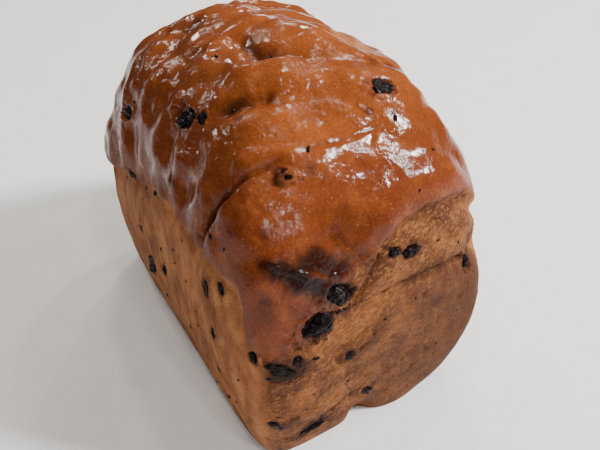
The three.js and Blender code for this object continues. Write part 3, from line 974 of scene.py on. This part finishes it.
def shape_crust(bm):
    smooth = on_smooth_loaf(cube_points(bm))
    out = outward(smooth)
    on_base = smooth[:, 2] < BASE_LEVEL
    out[on_base, 2] = 0
    rim = ragged_rim(smooth)
    glaze = glaze_mask(smooth, rim)
    furrows, folds = grooves(smooth, out, FURROWS), grooves(smooth, out, FOLDS)
    broad = rim_lip(smooth, out, rim) + creases(smooth, out) + lap_seam(smooth)
    broad += furrows + folds + pleats(smooth, out) + lumps(smooth, out)
    crack = cracks(smooth, out)
    fine = blisters(smooth, glaze) + tin_marks(smooth, glaze) - crack
    relief = (broad + fine) * ease(*ABOVE_BASE, smooth[:, 2]) + notch(smooth, out) + swells(smooth)
    seated, close = seat_currants(smooth + relief[:, None] * out)
    seated[on_base, 2] = 0
    # painted shade: the crust is darker in the furrows, folds, cracks and along the seam
    hollow_shade = -FURROW_SHADE * furrows - FOLD_SHADE * folds + CRACK_SHADE * crack + seam_shade(smooth)
    # partly browning, partly painted shade: darker where the dome is steep
    steep = 1 - ease(*STEEP_FLANK, out[:, 2])
    browned_and_shaded = steep + SHADE_AND_BROWNING_UNEVEN * noise_at(smooth, SHADE_AND_BROWNING_PATCH_SIZE, octaves=2, place=33)
    return seated, {
        "glaze": glaze,
        "browned_and_shaded": np.clip(browned_and_shaded, 0, 1),
        "thin_wash": 1 - ease(*THIN_WASH, smooth[:, 2] - rim),
        "on_end": ease(*END_FINISH, np.abs(out[:, 0])),
        "burnt": burn_mask(smooth),
        "hollow_shade": np.clip(hollow_shade, 0, 1),
        "stained": stain_mask(smooth),
        "by_currant": close,
    }


crust_points, crust_masks = shape_crust(crust_cube)
print(f"The crust reaches {crust_points[:, 2].max():.1f} mm, with the masks {', '.join(crust_masks)}")

# %% [markdown]
# ### The crust as an object
#
# The shaped points go back into the mesh, the open bottom is closed with one face, and the masks become
# attributes of the mesh. Every piece becomes an object in the same way, so one function does that. Then
# the piece is hung on the root body, and the node it stands for is hidden.


# %% Make the crust
def make_object(name, bm):
    """Turns a bmesh into an object in the scene."""
    mesh = bpy.data.meshes.new(name)
    bm.to_mesh(mesh)
    bm.free()
    made = bpy.data.objects.new(name, mesh)
    bpy.context.scene.collection.objects.link(made)
    return made


for vertex, point in zip(crust_cube.verts, crust_points):
    vertex.co = Vector(point) * MM
base_edges = [e for e in crust_cube.edges if e.is_boundary]
bmesh.ops.holes_fill(crust_cube, edges=base_edges)
for face in crust_cube.faces:
    face.smooth = len(face.verts) < 5  # all but the base

crust = make_object("loaf_crust", crust_cube)
for mask, values in crust_masks.items():
    attribute = crust.data.attributes.new(mask, "FLOAT", "POINT")
    attribute.data.foreach_set("value", values.astype(np.float32))
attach(crust, "root")
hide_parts("loaf")
print(f"The crust has {len(crust.data.polygons)} faces")

# %% [markdown]
# ## The currants
#
# A currant is a small dried grape. Its skin is too large for what is left inside, so it lies in sharp
# folds. It could start from a ball, but a copy of its node's mesh sits exactly in its pocket. The copy's
# loose triangles are merged, cut finer, and pushed in along folds of noise.

# %% Wrinkle a currant
ALONG_SHARE = 0.45  # the folds run along the currant, so the noise is stretched that way
LOBE_SIZE = 4
LOBE_SHARE = 0.5  # height of the lobes as a share of half the currant's width
FOLD_SIZE = 2.0
FOLD_DEPTH = 0.7
FOLD_WIDTH = 0.3  # in noise, which is 0 at the bottom of a fold
SMALL_FOLD_SIZE = 1.1
SMALL_FOLD_DEPTH = 0.45
SMALL_FOLD_WIDTH = 0.25
CURRANT_CUTS = 5
SAME_POINT = 0.01  # points closer than this are merged


def wrinkle_currant(bm, seat, number):
    bm.normal_update()
    points = np.array([v.co for v in bm.verts]) / MM
    normals = [v.normal.copy() for v in bm.verts]
    off = points - seat["middle"]
    long, wide, out = seat["axes"]
    own = np.stack([ALONG_SHARE * (off @ long), off @ wide, off @ out], 1)
    lobes = LOBE_SHARE * seat["reach"][1] * noise_at(own, LOBE_SIZE, place=number)
    folds = np.abs(noise_at(own, FOLD_SIZE, octaves=2, place=number + 0.5))
    small_folds = np.abs(noise_at(own, SMALL_FOLD_SIZE, place=number + 0.7))
    push = lobes - FOLD_DEPTH * (1 - ease(0, FOLD_WIDTH, folds))
    push -= SMALL_FOLD_DEPTH * (1 - ease(0, SMALL_FOLD_WIDTH, small_folds))
    for vertex, normal, distance in zip(bm.verts, normals, push):
        vertex.co += normal * float(distance) * MM


def currant_piece(name, number):
    bm = bmesh.new()
    bm.from_mesh(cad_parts[name].data)
    bmesh.ops.remove_doubles(bm, verts=bm.verts, dist=SAME_POINT * MM)
    bmesh.ops.subdivide_edges(
        bm, edges=bm.edges, cuts=CURRANT_CUTS, smooth=1.0, use_grid_fill=True
    )
    wrinkle_currant(bm, seats[number], number)
    for face in bm.faces:
        face.smooth = True
    piece = make_object(name + "_skin", bm)
    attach(piece, "root")
    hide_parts(name)
    return piece


currants = [currant_piece(name, number) for number, name in enumerate(currant_names)]
print(f"{len(currants)} currants of {len(currants[0].data.polygons)} faces each")

# %% [markdown]
# ## Specks
#
# Between the currants there are specks: scraps of skin and the tips of berries just under the crust.
# Each could be painted on, but a small flat ball pressed into the crust also catches the light. The ones
# that the photograph shows are placed one by one. The ones on the hidden sides are drawn at random, with
# a seed so that they fall the same each time. All of them are one piece.

# %% Where the specks are
SPECKS = [
    # the face it is in, its place on that face, and its length
    ("left", (-16, 76), 1.6), ("left", (-6, 79), 2.6), ("left", (-2, 56), 1.5), ("left", (13, 66), 1.2),
    ("left", (11, 58), 1.0), ("left", (-8, 24), 1.8), ("left", (46, 33), 2.6), ("left", (49, 19), 2.4),
    ("left", (24, 78), 1.1), ("left", (31, 50), 1.1), ("left", (32, 43), 1.2), ("left", (25, 61), 1.0),
    ("left", (48, 97), 1.5), ("left", (-27, 107), 1.3), ("left", (54, 96), 1.0), ("left", (19, 30), 1.2),
    ("left", (62, 44), 1.0), ("left", (36, 12), 1.4), ("left", (-40, 66), 1.2), ("left", (58, 26), 1.0),
    ("top", (54, -18), 1.6), ("top", (61, 25), 1.2), ("top", (3, -23), 1.6), ("top", (53, 15), 1.6),
    ("top", (25, -28), 1.2), ("top", (17, -9), 1.6), ("top", (70, 13), 1.0),
    ("end", (-42, 23), 1.8), ("end", (-29, 56), 2.0), ("end", (-45, 52), 1.4), ("end", (-38, 48), 1.2),
    ("end", (-15, 34), 1.0), ("end", (26, 30), 0.9), ("end", (12, 62), 0.9), ("end", (-2, 60), 1.0),
    ("end", (20, 84), 0.9), ("end", (30, 78), 1.0), ("end", (34, 44), 0.9), ("end", (-30, 37), 0.9),
]
HIDDEN_SPECKS = 46
HIDDEN_FACES = ["right", "right", "far"]  # the long side has twice as many
HIDDEN_REACH = {"right": 62, "far": 42}  # how far they lie from the middle of the face
HIDDEN_HEIGHTS = (10, 78)
HIDDEN_LENGTHS = (0.9, 2.2)
SPECK_SEED = 11


def hidden_specks():
    draw = random.Random(SPECK_SEED)
    for _ in range(HIDDEN_SPECKS):
        face = draw.choice(HIDDEN_FACES)
        across = draw.uniform(-HIDDEN_REACH[face], HIDDEN_REACH[face])
        height = draw.uniform(*HIDDEN_HEIGHTS)
        yield face, (across, height), draw.uniform(*HIDDEN_LENGTHS)


all_specks = [*SPECKS, *hidden_specks()]
print(f"{len(all_specks)} specks, {len(SPECKS)} of them placed by hand")

# %% Make the specks
# For each face, the two axes that a place on it is measured along, and the way it faces
FACE_AXES = {
    "top": (0, 1, Vector((0, 0, 1))),
    "left": (0, 2, Vector((0, -1, 0))),
    "right": (0, 2, Vector((0, 1, 0))),
    "end": (1, 2, Vector((1, 0, 0))),
    "far": (1, 2, Vector((-1, 0, 0))),
}
FACE_DEPTH_SHARE = 0.3  # how far out a face lies, as a share of the loaf's width
SPECK_SHAPE = (0.75, 0.4, 0.3)  # shares of its length


def add_speck(bm, face, place, size, number):
    first, second, facing = FACE_AXES[face]
    off = np.hypot(crust_points[:, first] - place[0], crust_points[:, second] - place[1])
    off[crust_points @ np.array(facing) < FACE_DEPTH_SHARE * WIDTH] = np.inf
    spot = crust_points[int(np.argmin(off))]
    out = Vector(outward(spot[None])[0])
    turn = out.to_track_quat("Z", "Y").to_matrix().to_4x4() @ Matrix.Rotation(number, 4, "Z")
    shape = Matrix.Diagonal((*[share * size for share in SPECK_SHAPE], 1))
    place_it = Matrix.Scale(MM, 4) @ Matrix.Translation(spot) @ turn @ shape
    bmesh.ops.create_icosphere(bm, subdivisions=2, radius=1, matrix=place_it)


specks_bm = bmesh.new()
for number, (face, place, size) in enumerate(all_specks):
    add_speck(specks_bm, face, place, size, number)
for face in specks_bm.faces:
    face.smooth = True
specks = make_object("currant_specks", specks_bm)
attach(specks, "root")
print(f"The specks have {len(specks.data.polygons)} faces")

# %% [markdown]
# ## Materials
#
# Colours are picked as sRGB hex values, as on a paint card, and Blender works with linear light, so one
# function turns them. One more function adds a shader node with its settings and links. Everything else
# about a finish is told in tables, which read like a baker's description of the crust.


# %% Colours and nodes
def linear(hex_colour):
    parts = [int(hex_colour[i : i + 2], 16) / 255 for i in (1, 3, 5)]
    straight = [c / 12.92 if c <= 0.04045 else ((c + 0.055) / 1.055) ** 2.4 for c in parts]
    return (*straight, 1.0)


def add_node(tree, kind, inputs=None, **settings):
    """Adds a node. Settings are its own; inputs are values, or the sockets that are linked to it."""
    made = tree.nodes.new(kind)
    for name, value in settings.items():
        setattr(made, name, value)
    for key, value in (inputs or {}).items():
        if isinstance(value, bpy.types.NodeSocket):
            tree.links.new(value, made.inputs[key])
        else:
            made.inputs[key].default_value = value
    return made


def new_material(name):
    material = bpy.data.materials.new(name)
    material.use_nodes = True
    material.node_tree.nodes.clear()
    return material, material.node_tree


print(f"The crust's side colour #AB6D40 is {[round(c, 3) for c in linear('#AB6D40')]} in linear light")

# %% [markdown]
# ### Patterns and layers
#
# Dough is blotchy at many sizes at once. A photograph could be wrapped round it, but a pattern made of
# noise or of cells has no seams and no edges. The lumps of each have a real size in millimetres. A
# layer is a colour that shows where its pattern is strong, as a painter glazes one coat over another.

# %% Patterns and layers
NOISE = ("ShaderNodeTexNoise", "Fac")  # the kind of node, and its output
CELLS = ("ShaderNodeTexVoronoi", "Distance")
RANGE_INPUTS = ("From Min", "From Max", "To Min", "To Max")


def grow_patterns(tree, recipes, laid):
    """Adds a texture for each recipe, and gives the textures' sockets by name."""
    grown = {}
    for name, ((kind, output), how_laid, size_mm, fineness) in recipes.items():
        inputs = {"Vector": laid[how_laid], "Scale": 1 / (size_mm * MM), **fineness}
        grown[name] = add_node(tree, kind, inputs).outputs[output]
    return grown


def lay_over(tree, colour, layers, patterns):
    """Lays layers over a colour, each where its pattern is strong and within the others it names."""
    for name, start, full, share, hex_colour, *within in layers:
        inputs = {"Value": patterns[name], "From Min": start, "From Max": full, "To Max": share}
        strength = add_node(tree, "ShaderNodeMapRange", inputs).outputs["Result"]
        for other in within:
            inputs = {0: strength, 1: patterns[other]}
            strength = add_node(tree, "ShaderNodeMath", inputs, operation="MULTIPLY").outputs[0]
        inputs = {0: strength, 6: colour, 7: linear(hex_colour)}
        colour = add_node(tree, "ShaderNodeMix", inputs, data_type="RGBA").outputs[2]
    return colour


print(f"Lumps of 1 mm need a texture scale of {1 / MM:.0f}")

# %% [markdown]
# ### Baked crust
#
# The sides are plain baked dough: matte, light brown, with a fine grain from the bubbles that burst
# against the tin. On the long sides the grain is blotchy, with pale and dark streaks that hang down. On
# the ends it is drawn out in fibres along the turns of the roll, which show more above the crease than
# below, and the lower right part is painted darker, as shade. Over that, everywhere, lie tiny pale
# bubbles.
#
# The dome is the same dough under dried egg wash, a thin clear film. It is glossy, and makes the crust
# look darker and redder. The steep flanks are darker still, partly browning and partly painted shade.
# Hollows get painted shade, the crust beside currants painted shade and stain, berries under the skin
# stain it purple-brown, and a few places are burnt nearly black.

# %% The crust's patterns
FIBRE_TILT = math.radians(22)  # how far the fibres of the end faces rise
FIBRE_STRETCH = (1.0, 2.0, 1.0)
STREAK_STRETCH = (1.0, 1.0, 3.0)
CRUST_MASKS = ("glaze", "browned_and_shaded", "thin_wash", "on_end", "burnt", "hollow_shade", "stained", "by_currant")
CRUST_TEXTURES = {
    # the texture, how it is laid, the size of its lumps in millimetres, and how fine it is within them
    "blotches": (NOISE, "plain", 14, {"Detail": 4}),
    "streaks": (NOISE, "hanging", 4.5, {"Detail": 4}),
    "fine_grain": (NOISE, "plain", 0.9, {"Detail": 5, "Roughness": 0.6}),
    "end_blotches": (NOISE, "plain", 11, {"Detail": 4}),
    "fibres": (NOISE, "tilted", 1.1, {"Detail": 4, "Roughness": 0.65}),
    "dome_blotches": (NOISE, "plain", 6, {"Detail": 3}),
    "wash_thickness": (NOISE, "plain", 5, {"Detail": 3}),
    "film_bubbles": (NOISE, "plain", 1.2, {"Detail": 4}),
    "bubbly_patches": (NOISE, "plain", 8, {"Detail": 2}),
    "pinpricks": (CELLS, "plain", 2.4, {}),  # bubbles drawn half a millimetre wide, so that they show
}
CRUST_RANGES = {
    # what it is read from, from and to, and its values there
    "above_crease": ("level", 60 * MM, 80 * MM, 0.75, 1.0),
    "low": ("level", 80 * MM, 62 * MM, 0.0, 1.0),
    # painted shade on the lower right part of the end
    "painted_shade_to_the_right": ("across", -25 * MM, 42 * MM, 0.0, 1.0),
    "bare_roughness": ("fine_grain", 0.3, 0.7, 0.62, 0.85),
    "wash_roughness": ("wash_thickness", 0.35, 0.65, 0.06, 0.15),
    "film_depth": ("bubbly_patches", 0.43, 0.6, 0.28, 1.0),
}


def crust_patterns(tree):
    place = add_node(tree, "ShaderNodeTexCoord").outputs["Object"]
    laid = {"plain": place}
    for name, tilt, stretch in (("hanging", 0, STREAK_STRETCH), ("tilted", FIBRE_TILT, FIBRE_STRETCH)):
        inputs = {"Vector": place, "Rotation": (tilt, 0, 0), "Scale": stretch}
        laid[name] = add_node(tree, "ShaderNodeMapping", inputs, vector_type="TEXTURE").outputs[0]
    patterns = grow_patterns(tree, CRUST_TEXTURES, laid)
    for name in CRUST_MASKS:
        patterns[name] = add_node(tree, "ShaderNodeAttribute", attribute_name=name).outputs["Fac"]
    position = add_node(tree, "ShaderNodeSeparateXYZ", {0: place})
    patterns["across"], patterns["level"] = position.outputs["Y"], position.outputs["Z"]
    for name, (read_from, *numbers) in CRUST_RANGES.items():
        inputs = {"Value": patterns[read_from]}
        inputs.update(zip(RANGE_INPUTS, numbers))
        patterns[name] = add_node(tree, "ShaderNodeMapRange", inputs).outputs["Result"]
    return patterns


print(f"{len(CRUST_TEXTURES)} textures, {len(CRUST_MASKS)} masks and {len(CRUST_RANGES)} ranges")

# %% [markdown]
# ### The colours of the crust
#
# Three crusts are painted, one for the long sides, one for the ends and one for the dome. The masks
# then choose among them, and what lies over all of them is painted last.

# %% The crust's colours
# A layer is a pattern, where it starts and where it is full, its share there, its colour, and
# sometimes another pattern that it stays within
SIDE_COLOUR = "#AB6D40"
SIDE_LAYERS = [
    ("blotches", 0.38, 0.62, 1.0, "#8B5531"),
    ("streaks", 0.53, 0.68, 0.6, "#BC8654"),
    ("streaks", 0.47, 0.36, 0.6, "#6C3E20"),
    ("fine_grain", 0.52, 0.68, 0.45, "#5A341C"),
]
END_COLOUR = "#7E4C28"
END_LAYERS = [
    ("end_blotches", 0.4, 0.6, 1.0, "#502B15"),
    ("fibres", 0.51, 0.58, 0.5, "#4C2813", "above_crease"),
    ("fibres", 0.47, 0.4, 0.38, "#AA7846", "above_crease"),
    # the lower right part of the end is painted darker, as shade
    ("painted_shade_to_the_right", 0, 1, 0.9, "#482714", "low"),
]
DOME_COLOUR = "#7A3E1B"
DOME_LAYERS = [
    # darker on the steep flanks: partly browning, partly painted shade
    ("browned_and_shaded", 0, 1, 1.0, "#653019"),
    ("dome_blotches", 0.5, 0.7, 0.2, "#A65E26"),
    ("fine_grain", 0.5, 0.66, 0.4, "#4C200D"),
    ("fine_grain", 0.47, 0.33, 0.15, "#A8622C"),
]
LAYERS_OVER_ALL = [
    ("pinpricks", 0.14, 0.08, 0.28, "#B9804C"),
    # painted shade in the hollows of the relief
    ("hollow_shade", 0, 1, 0.8, "#2E1208"),
    ("stained", 0, 1, 1.0, "#2B100F"),
    # painted shade and stain on the crust beside the currants
    ("by_currant", 0, 1, 0.75, "#2E130C"),
    ("burnt", 0, 1, 0.97, "#110505"),
]


def crust_colour(tree, patterns):
    side = lay_over(tree, linear(SIDE_COLOUR), SIDE_LAYERS, patterns)
    end = lay_over(tree, linear(END_COLOUR), END_LAYERS, patterns)
    dome = lay_over(tree, linear(DOME_COLOUR), DOME_LAYERS, patterns)
    inputs = {0: patterns["on_end"], 6: side, 7: end}
    bare = add_node(tree, "ShaderNodeMix", inputs, data_type="RGBA").outputs[2]
    inputs = {0: patterns["glaze"], 6: bare, 7: dome}
    colour = add_node(tree, "ShaderNodeMix", inputs, data_type="RGBA").outputs[2]
    return lay_over(tree, colour, LAYERS_OVER_ALL, patterns)


print(f"{len(SIDE_LAYERS + END_LAYERS + DOME_LAYERS + LAYERS_OVER_ALL)} layers of colour")

# %% [markdown]
# ### The gloss of the crust
#
# Dried egg wash is as smooth as varnish, so it mirrors the lamps as crisp white patches. Its thickness
# varies, and just above the bare crust there is less of it, so it is duller there. Bare crust is rough,
# as any open crumb is. Roughness is one number from 0 to 1, so the masks can blend it too.

# %% The crust's gloss
THIN_WASH_ROUGHNESS = 0.45
BURNT_ROUGHNESS = 0.12


def crust_roughness(tree, patterns):
    washed = patterns["wash_roughness"]
    for name, roughness in (("thin_wash", THIN_WASH_ROUGHNESS), ("burnt", BURNT_ROUGHNESS)):
        inputs = {0: patterns[name], 2: washed, 3: roughness}
        washed = add_node(tree, "ShaderNodeMix", inputs).outputs[0]
    inputs = {0: patterns["glaze"], 2: patterns["bare_roughness"], 3: washed}
    return add_node(tree, "ShaderNodeMix", inputs).outputs[0]


print(f"Egg wash has a roughness of {CRUST_RANGES['wash_roughness'][3]} where it is thick")
print(f"and {THIN_WASH_ROUGHNESS} where it is thin")

# %% [markdown]
# ### The fine relief of the crust, and the material
#
# Pores and the film's wrinkles are finer than the mesh, so they are bump: the light is bent as if they
# were there. The bare crust has pores, drawn out in fibres on the ends. The film has small bubbles, in
# patches, and is wrinkled most where it burnt. The film's index of refraction is set lower than that of
# dried egg, because the lit floor would otherwise lay a grey veil over the dark flanks.

# %% The crust's material
PORE_DEPTH = 0.8
PORE_STRENGTH = 1.0
FILM_DEPTH = 0.35
FILM_STRENGTH = 0.7
BURNT_WRINKLES = 1.3  # how much deeper the film is wrinkled where the crust is burnt
CRUST_IOR = 1.25  # that of dried egg is about 1.5


def crust_normal(tree, patterns):
    inputs = {0: patterns["on_end"], 2: patterns["fine_grain"], 3: patterns["fibres"]}
    pore_height = add_node(tree, "ShaderNodeMix", inputs).outputs[0]
    inputs = {"Strength": PORE_STRENGTH, "Distance": PORE_DEPTH * MM, "Height": pore_height}
    pores = add_node(tree, "ShaderNodeBump", inputs).outputs["Normal"]
    inputs = {0: patterns["burnt"], 1: BURNT_WRINKLES}
    wrinkled = add_node(tree, "ShaderNodeMath", inputs, operation="MULTIPLY").outputs[0]
    inputs = {0: patterns["film_depth"], 1: wrinkled}
    depth = add_node(tree, "ShaderNodeMath", inputs, operation="MAXIMUM").outputs[0]
    inputs = {0: patterns["film_bubbles"], 1: depth}
    bubbly = add_node(tree, "ShaderNodeMath", inputs, operation="MULTIPLY").outputs[0]
    inputs = {"Strength": FILM_STRENGTH, "Distance": FILM_DEPTH * MM, "Height": bubbly}
    film = add_node(tree, "ShaderNodeBump", inputs).outputs["Normal"]
    inputs = {0: patterns["glaze"], 4: pores, 5: film}
    return add_node(tree, "ShaderNodeMix", inputs, data_type="VECTOR").outputs[1]


def crust_material():
    material, tree = new_material("egg_washed_baked_crust")
    patterns = crust_patterns(tree)
    inputs = {
        "Base Color": crust_colour(tree, patterns),
        "Roughness": crust_roughness(tree, patterns),
        "Normal": crust_normal(tree, patterns),
        "IOR": CRUST_IOR,
    }
    shader = add_node(tree, "ShaderNodeBsdfPrincipled", inputs)
    add_node(tree, "ShaderNodeOutputMaterial", {"Surface": shader.outputs[0]})
    return material


crust.data.materials.append(crust_material())
print("Crust material:", crust.data.materials[0].name)

# %% [markdown]
# ### Currant skin
#
# Dried grape skin is almost black, with a little brown and purple in it. The egg wash and its own sugar
# leave it shiny, so the crests of its folds catch small sharp lights. A nearly black colour with low
# roughness gives that, and a little bump breaks the lights up.

# %% The currants' material
CURRANT_TEXTURES = {
    "tint": (NOISE, "plain", 3, {"Detail": 3}),
    "skin": (NOISE, "plain", 0.8, {"Detail": 3}),
}
CURRANT_COLOUR = "#08070A"
CURRANT_LAYERS = [("tint", 0, 1, 1.0, "#170B0C")]
CURRANT_ROUGHNESS = 0.2
CURRANT_IOR = 1.17  # low, so that it mirrors the lamps and hardly the pale floor
SKIN_DEPTH = 0.2
SKIN_STRENGTH = 0.5


def currant_material():
    material, tree = new_material("dried_currant_skin")
    place = add_node(tree, "ShaderNodeTexCoord").outputs["Object"]
    patterns = grow_patterns(tree, CURRANT_TEXTURES, {"plain": place})
    colour = lay_over(tree, linear(CURRANT_COLOUR), CURRANT_LAYERS, patterns)
    inputs = {"Strength": SKIN_STRENGTH, "Distance": SKIN_DEPTH * MM, "Height": patterns["skin"]}
    normal = add_node(tree, "ShaderNodeBump", inputs).outputs["Normal"]
    inputs = {
        "Base Color": colour,
        "Roughness": CURRANT_ROUGHNESS,
        "Normal": normal,
        "IOR": CURRANT_IOR,
    }
    shader = add_node(tree, "ShaderNodeBsdfPrincipled", inputs)
    add_node(tree, "ShaderNodeOutputMaterial", {"Surface": shader.outputs[0]})
    return material


currant_skin = currant_material()
for piece in [*currants, specks]:
    piece.data.materials.append(currant_skin)
print("Currant material on", len(currants) + 1, "pieces")

# %% [markdown]
# ## The floor
#
# The loaf stands on a plain pale sheet, much larger than the picture, so that no edge shows. Paper is
# matte and very slightly mottled. A single large face is enough, a little under the loaf's base.

# %% The floor
FLOOR_SIZE = 1.6  # half its width, in metres
FLOOR_DROP = 0.1
FLOOR_TEXTURES = {
    "mottle": (NOISE, "plain", 14, {"Detail": 4}),
    "paper_grain": (NOISE, "plain", 2, {"Detail": 4}),
}
FLOOR_ROUGHNESS = 0.75
FLOOR_COLOUR = "#E0E0E1"
FLOOR_LAYERS = [("mottle", 0, 1, 1.0, "#F0F0EF"), ("paper_grain", 0, 1, 1.0, "#D9D9DA")]


def floor_material():
    material, tree = new_material("pale_matte_paper")
    place = add_node(tree, "ShaderNodeTexCoord").outputs["Object"]
    patterns = grow_patterns(tree, FLOOR_TEXTURES, {"plain": place})
    colour = lay_over(tree, linear(FLOOR_COLOUR), FLOOR_LAYERS, patterns)
    inputs = {"Base Color": colour, "Roughness": FLOOR_ROUGHNESS}
    shader = add_node(tree, "ShaderNodeBsdfPrincipled", inputs)
    add_node(tree, "ShaderNodeOutputMaterial", {"Surface": shader.outputs[0]})
    return material


floor_bm = bmesh.new()
bmesh.ops.create_grid(floor_bm, x_segments=1, y_segments=1, size=FLOOR_SIZE)
bmesh.ops.translate(floor_bm, vec=(0, 0, -FLOOR_DROP * MM), verts=floor_bm.verts)
floor = make_object("pale_floor", floor_bm)
floor.data.materials.append(floor_material())
print("Floor", 2 * FLOOR_SIZE, "m wide")

# %% [markdown]
# ## The room
#
# The light is soft: a pale surround that is brighter overhead than towards the horizon. It fills the
# shadows, and its dim horizon keeps the steep flanks of the glaze from turning grey. A picture of a room
# could be wrapped round the scene, but then the glaze would mirror it.

# %% The surround
SURROUND_COLOUR = "#F6F6F8"
SURROUND_LOW = 0.05
SURROUND_HIGH = 0.28
LOW_BELOW = 0.1  # upward parts of a direction, from 0 at the horizon to 1 overhead
HIGH_ABOVE = 0.9

world = bpy.data.worlds.new("soft_surround")
bpy.context.scene.world = world
world.use_nodes = True
room = world.node_tree
room.nodes.clear()
direction = add_node(room, "ShaderNodeTexCoord").outputs["Generated"]
upward = add_node(room, "ShaderNodeSeparateXYZ", {0: direction}).outputs["Z"]
inputs = {"Value": upward}
inputs.update(zip(RANGE_INPUTS, (LOW_BELOW, HIGH_ABOVE, SURROUND_LOW, SURROUND_HIGH)))
strength = add_node(room, "ShaderNodeMapRange", inputs).outputs["Result"]
inputs = {"Color": linear(SURROUND_COLOUR), "Strength": strength}
surround = add_node(room, "ShaderNodeBackground", inputs)
add_node(room, "ShaderNodeOutputWorld", {"Surface": surround.outputs[0]})
print(f"The surround is {SURROUND_LOW} bright at the horizon and {SURROUND_HIGH} overhead")

# %% [markdown]
# ### The lamps
#
# One bright panel, high on the right as the camera sees the loaf, throws its soft shadow. One large
# panel alone would leave the rest of the glaze dull, so small ones are added round it. The glaze mirrors
# each as a small crisp patch, and the wrinkled film breaks the patch up. They are a little warmer than
# the main one, as light that has met the walls of a room is.

# %% The lamps
AIM = Vector((0, 0, 80)) * MM
MAIN_COLOUR = "#FFFFFF"
FILL_COLOUR = "#FFF6EC"
PANELS = [
    # name, place in metres, size in metres, watts, colour
    ("main_panel", (0.72, 0.96, 1.06), 0.22, 50, MAIN_COLOUR),
    ("ceiling_panel_a", (-0.19, 0.53, 0.92), 0.07, 1.7, FILL_COLOUR),
    ("ceiling_panel_b", (-0.73, -0.09, 0.83), 0.06, 1.4, FILL_COLOUR),
    ("ceiling_panel_c", (0.54, 0.03, 0.94), 0.06, 1.4, FILL_COLOUR),
    ("ceiling_panel_d", (-0.6, 0.5, 0.77), 0.07, 1.6, FILL_COLOUR),
    ("ceiling_panel_e", (0.16, 0.82, 0.72), 0.06, 1.2, FILL_COLOUR),
    ("ceiling_panel_f", (0.1, -0.2, 1.08), 0.06, 1.4, FILL_COLOUR),
    ("ceiling_panel_g", (-0.38, 0.22, 1.0), 0.07, 1.7, FILL_COLOUR),
    ("side_panel_a", (-0.93, -0.14, 0.58), 0.05, 1.1, FILL_COLOUR),
    ("side_panel_b", (-0.88, -0.5, 0.5), 0.055, 1.2, FILL_COLOUR),
    ("side_panel_c", (-0.9, 0.5, 0.5), 0.055, 1.2, FILL_COLOUR),
    ("side_panel_d", (0.92, -0.3, 0.6), 0.045, 1.7, FILL_COLOUR),
    ("side_panel_e", (1.0, -0.06, 0.45), 0.035, 1.3, FILL_COLOUR),
]

for name, place, size, watts, colour in PANELS:
    light = bpy.data.lights.new(name, "AREA")
    light.size = size
    light.energy = watts
    light.color = linear(colour)[:3]
    lamp = bpy.data.objects.new(name, light)
    lamp.location = place
    lamp.rotation_mode = "QUATERNION"
    lamp.rotation_quaternion = (Vector(place) - AIM).to_track_quat("Z", "Y")
    bpy.context.scene.collection.objects.link(lamp)
print(len(PANELS), "light panels")
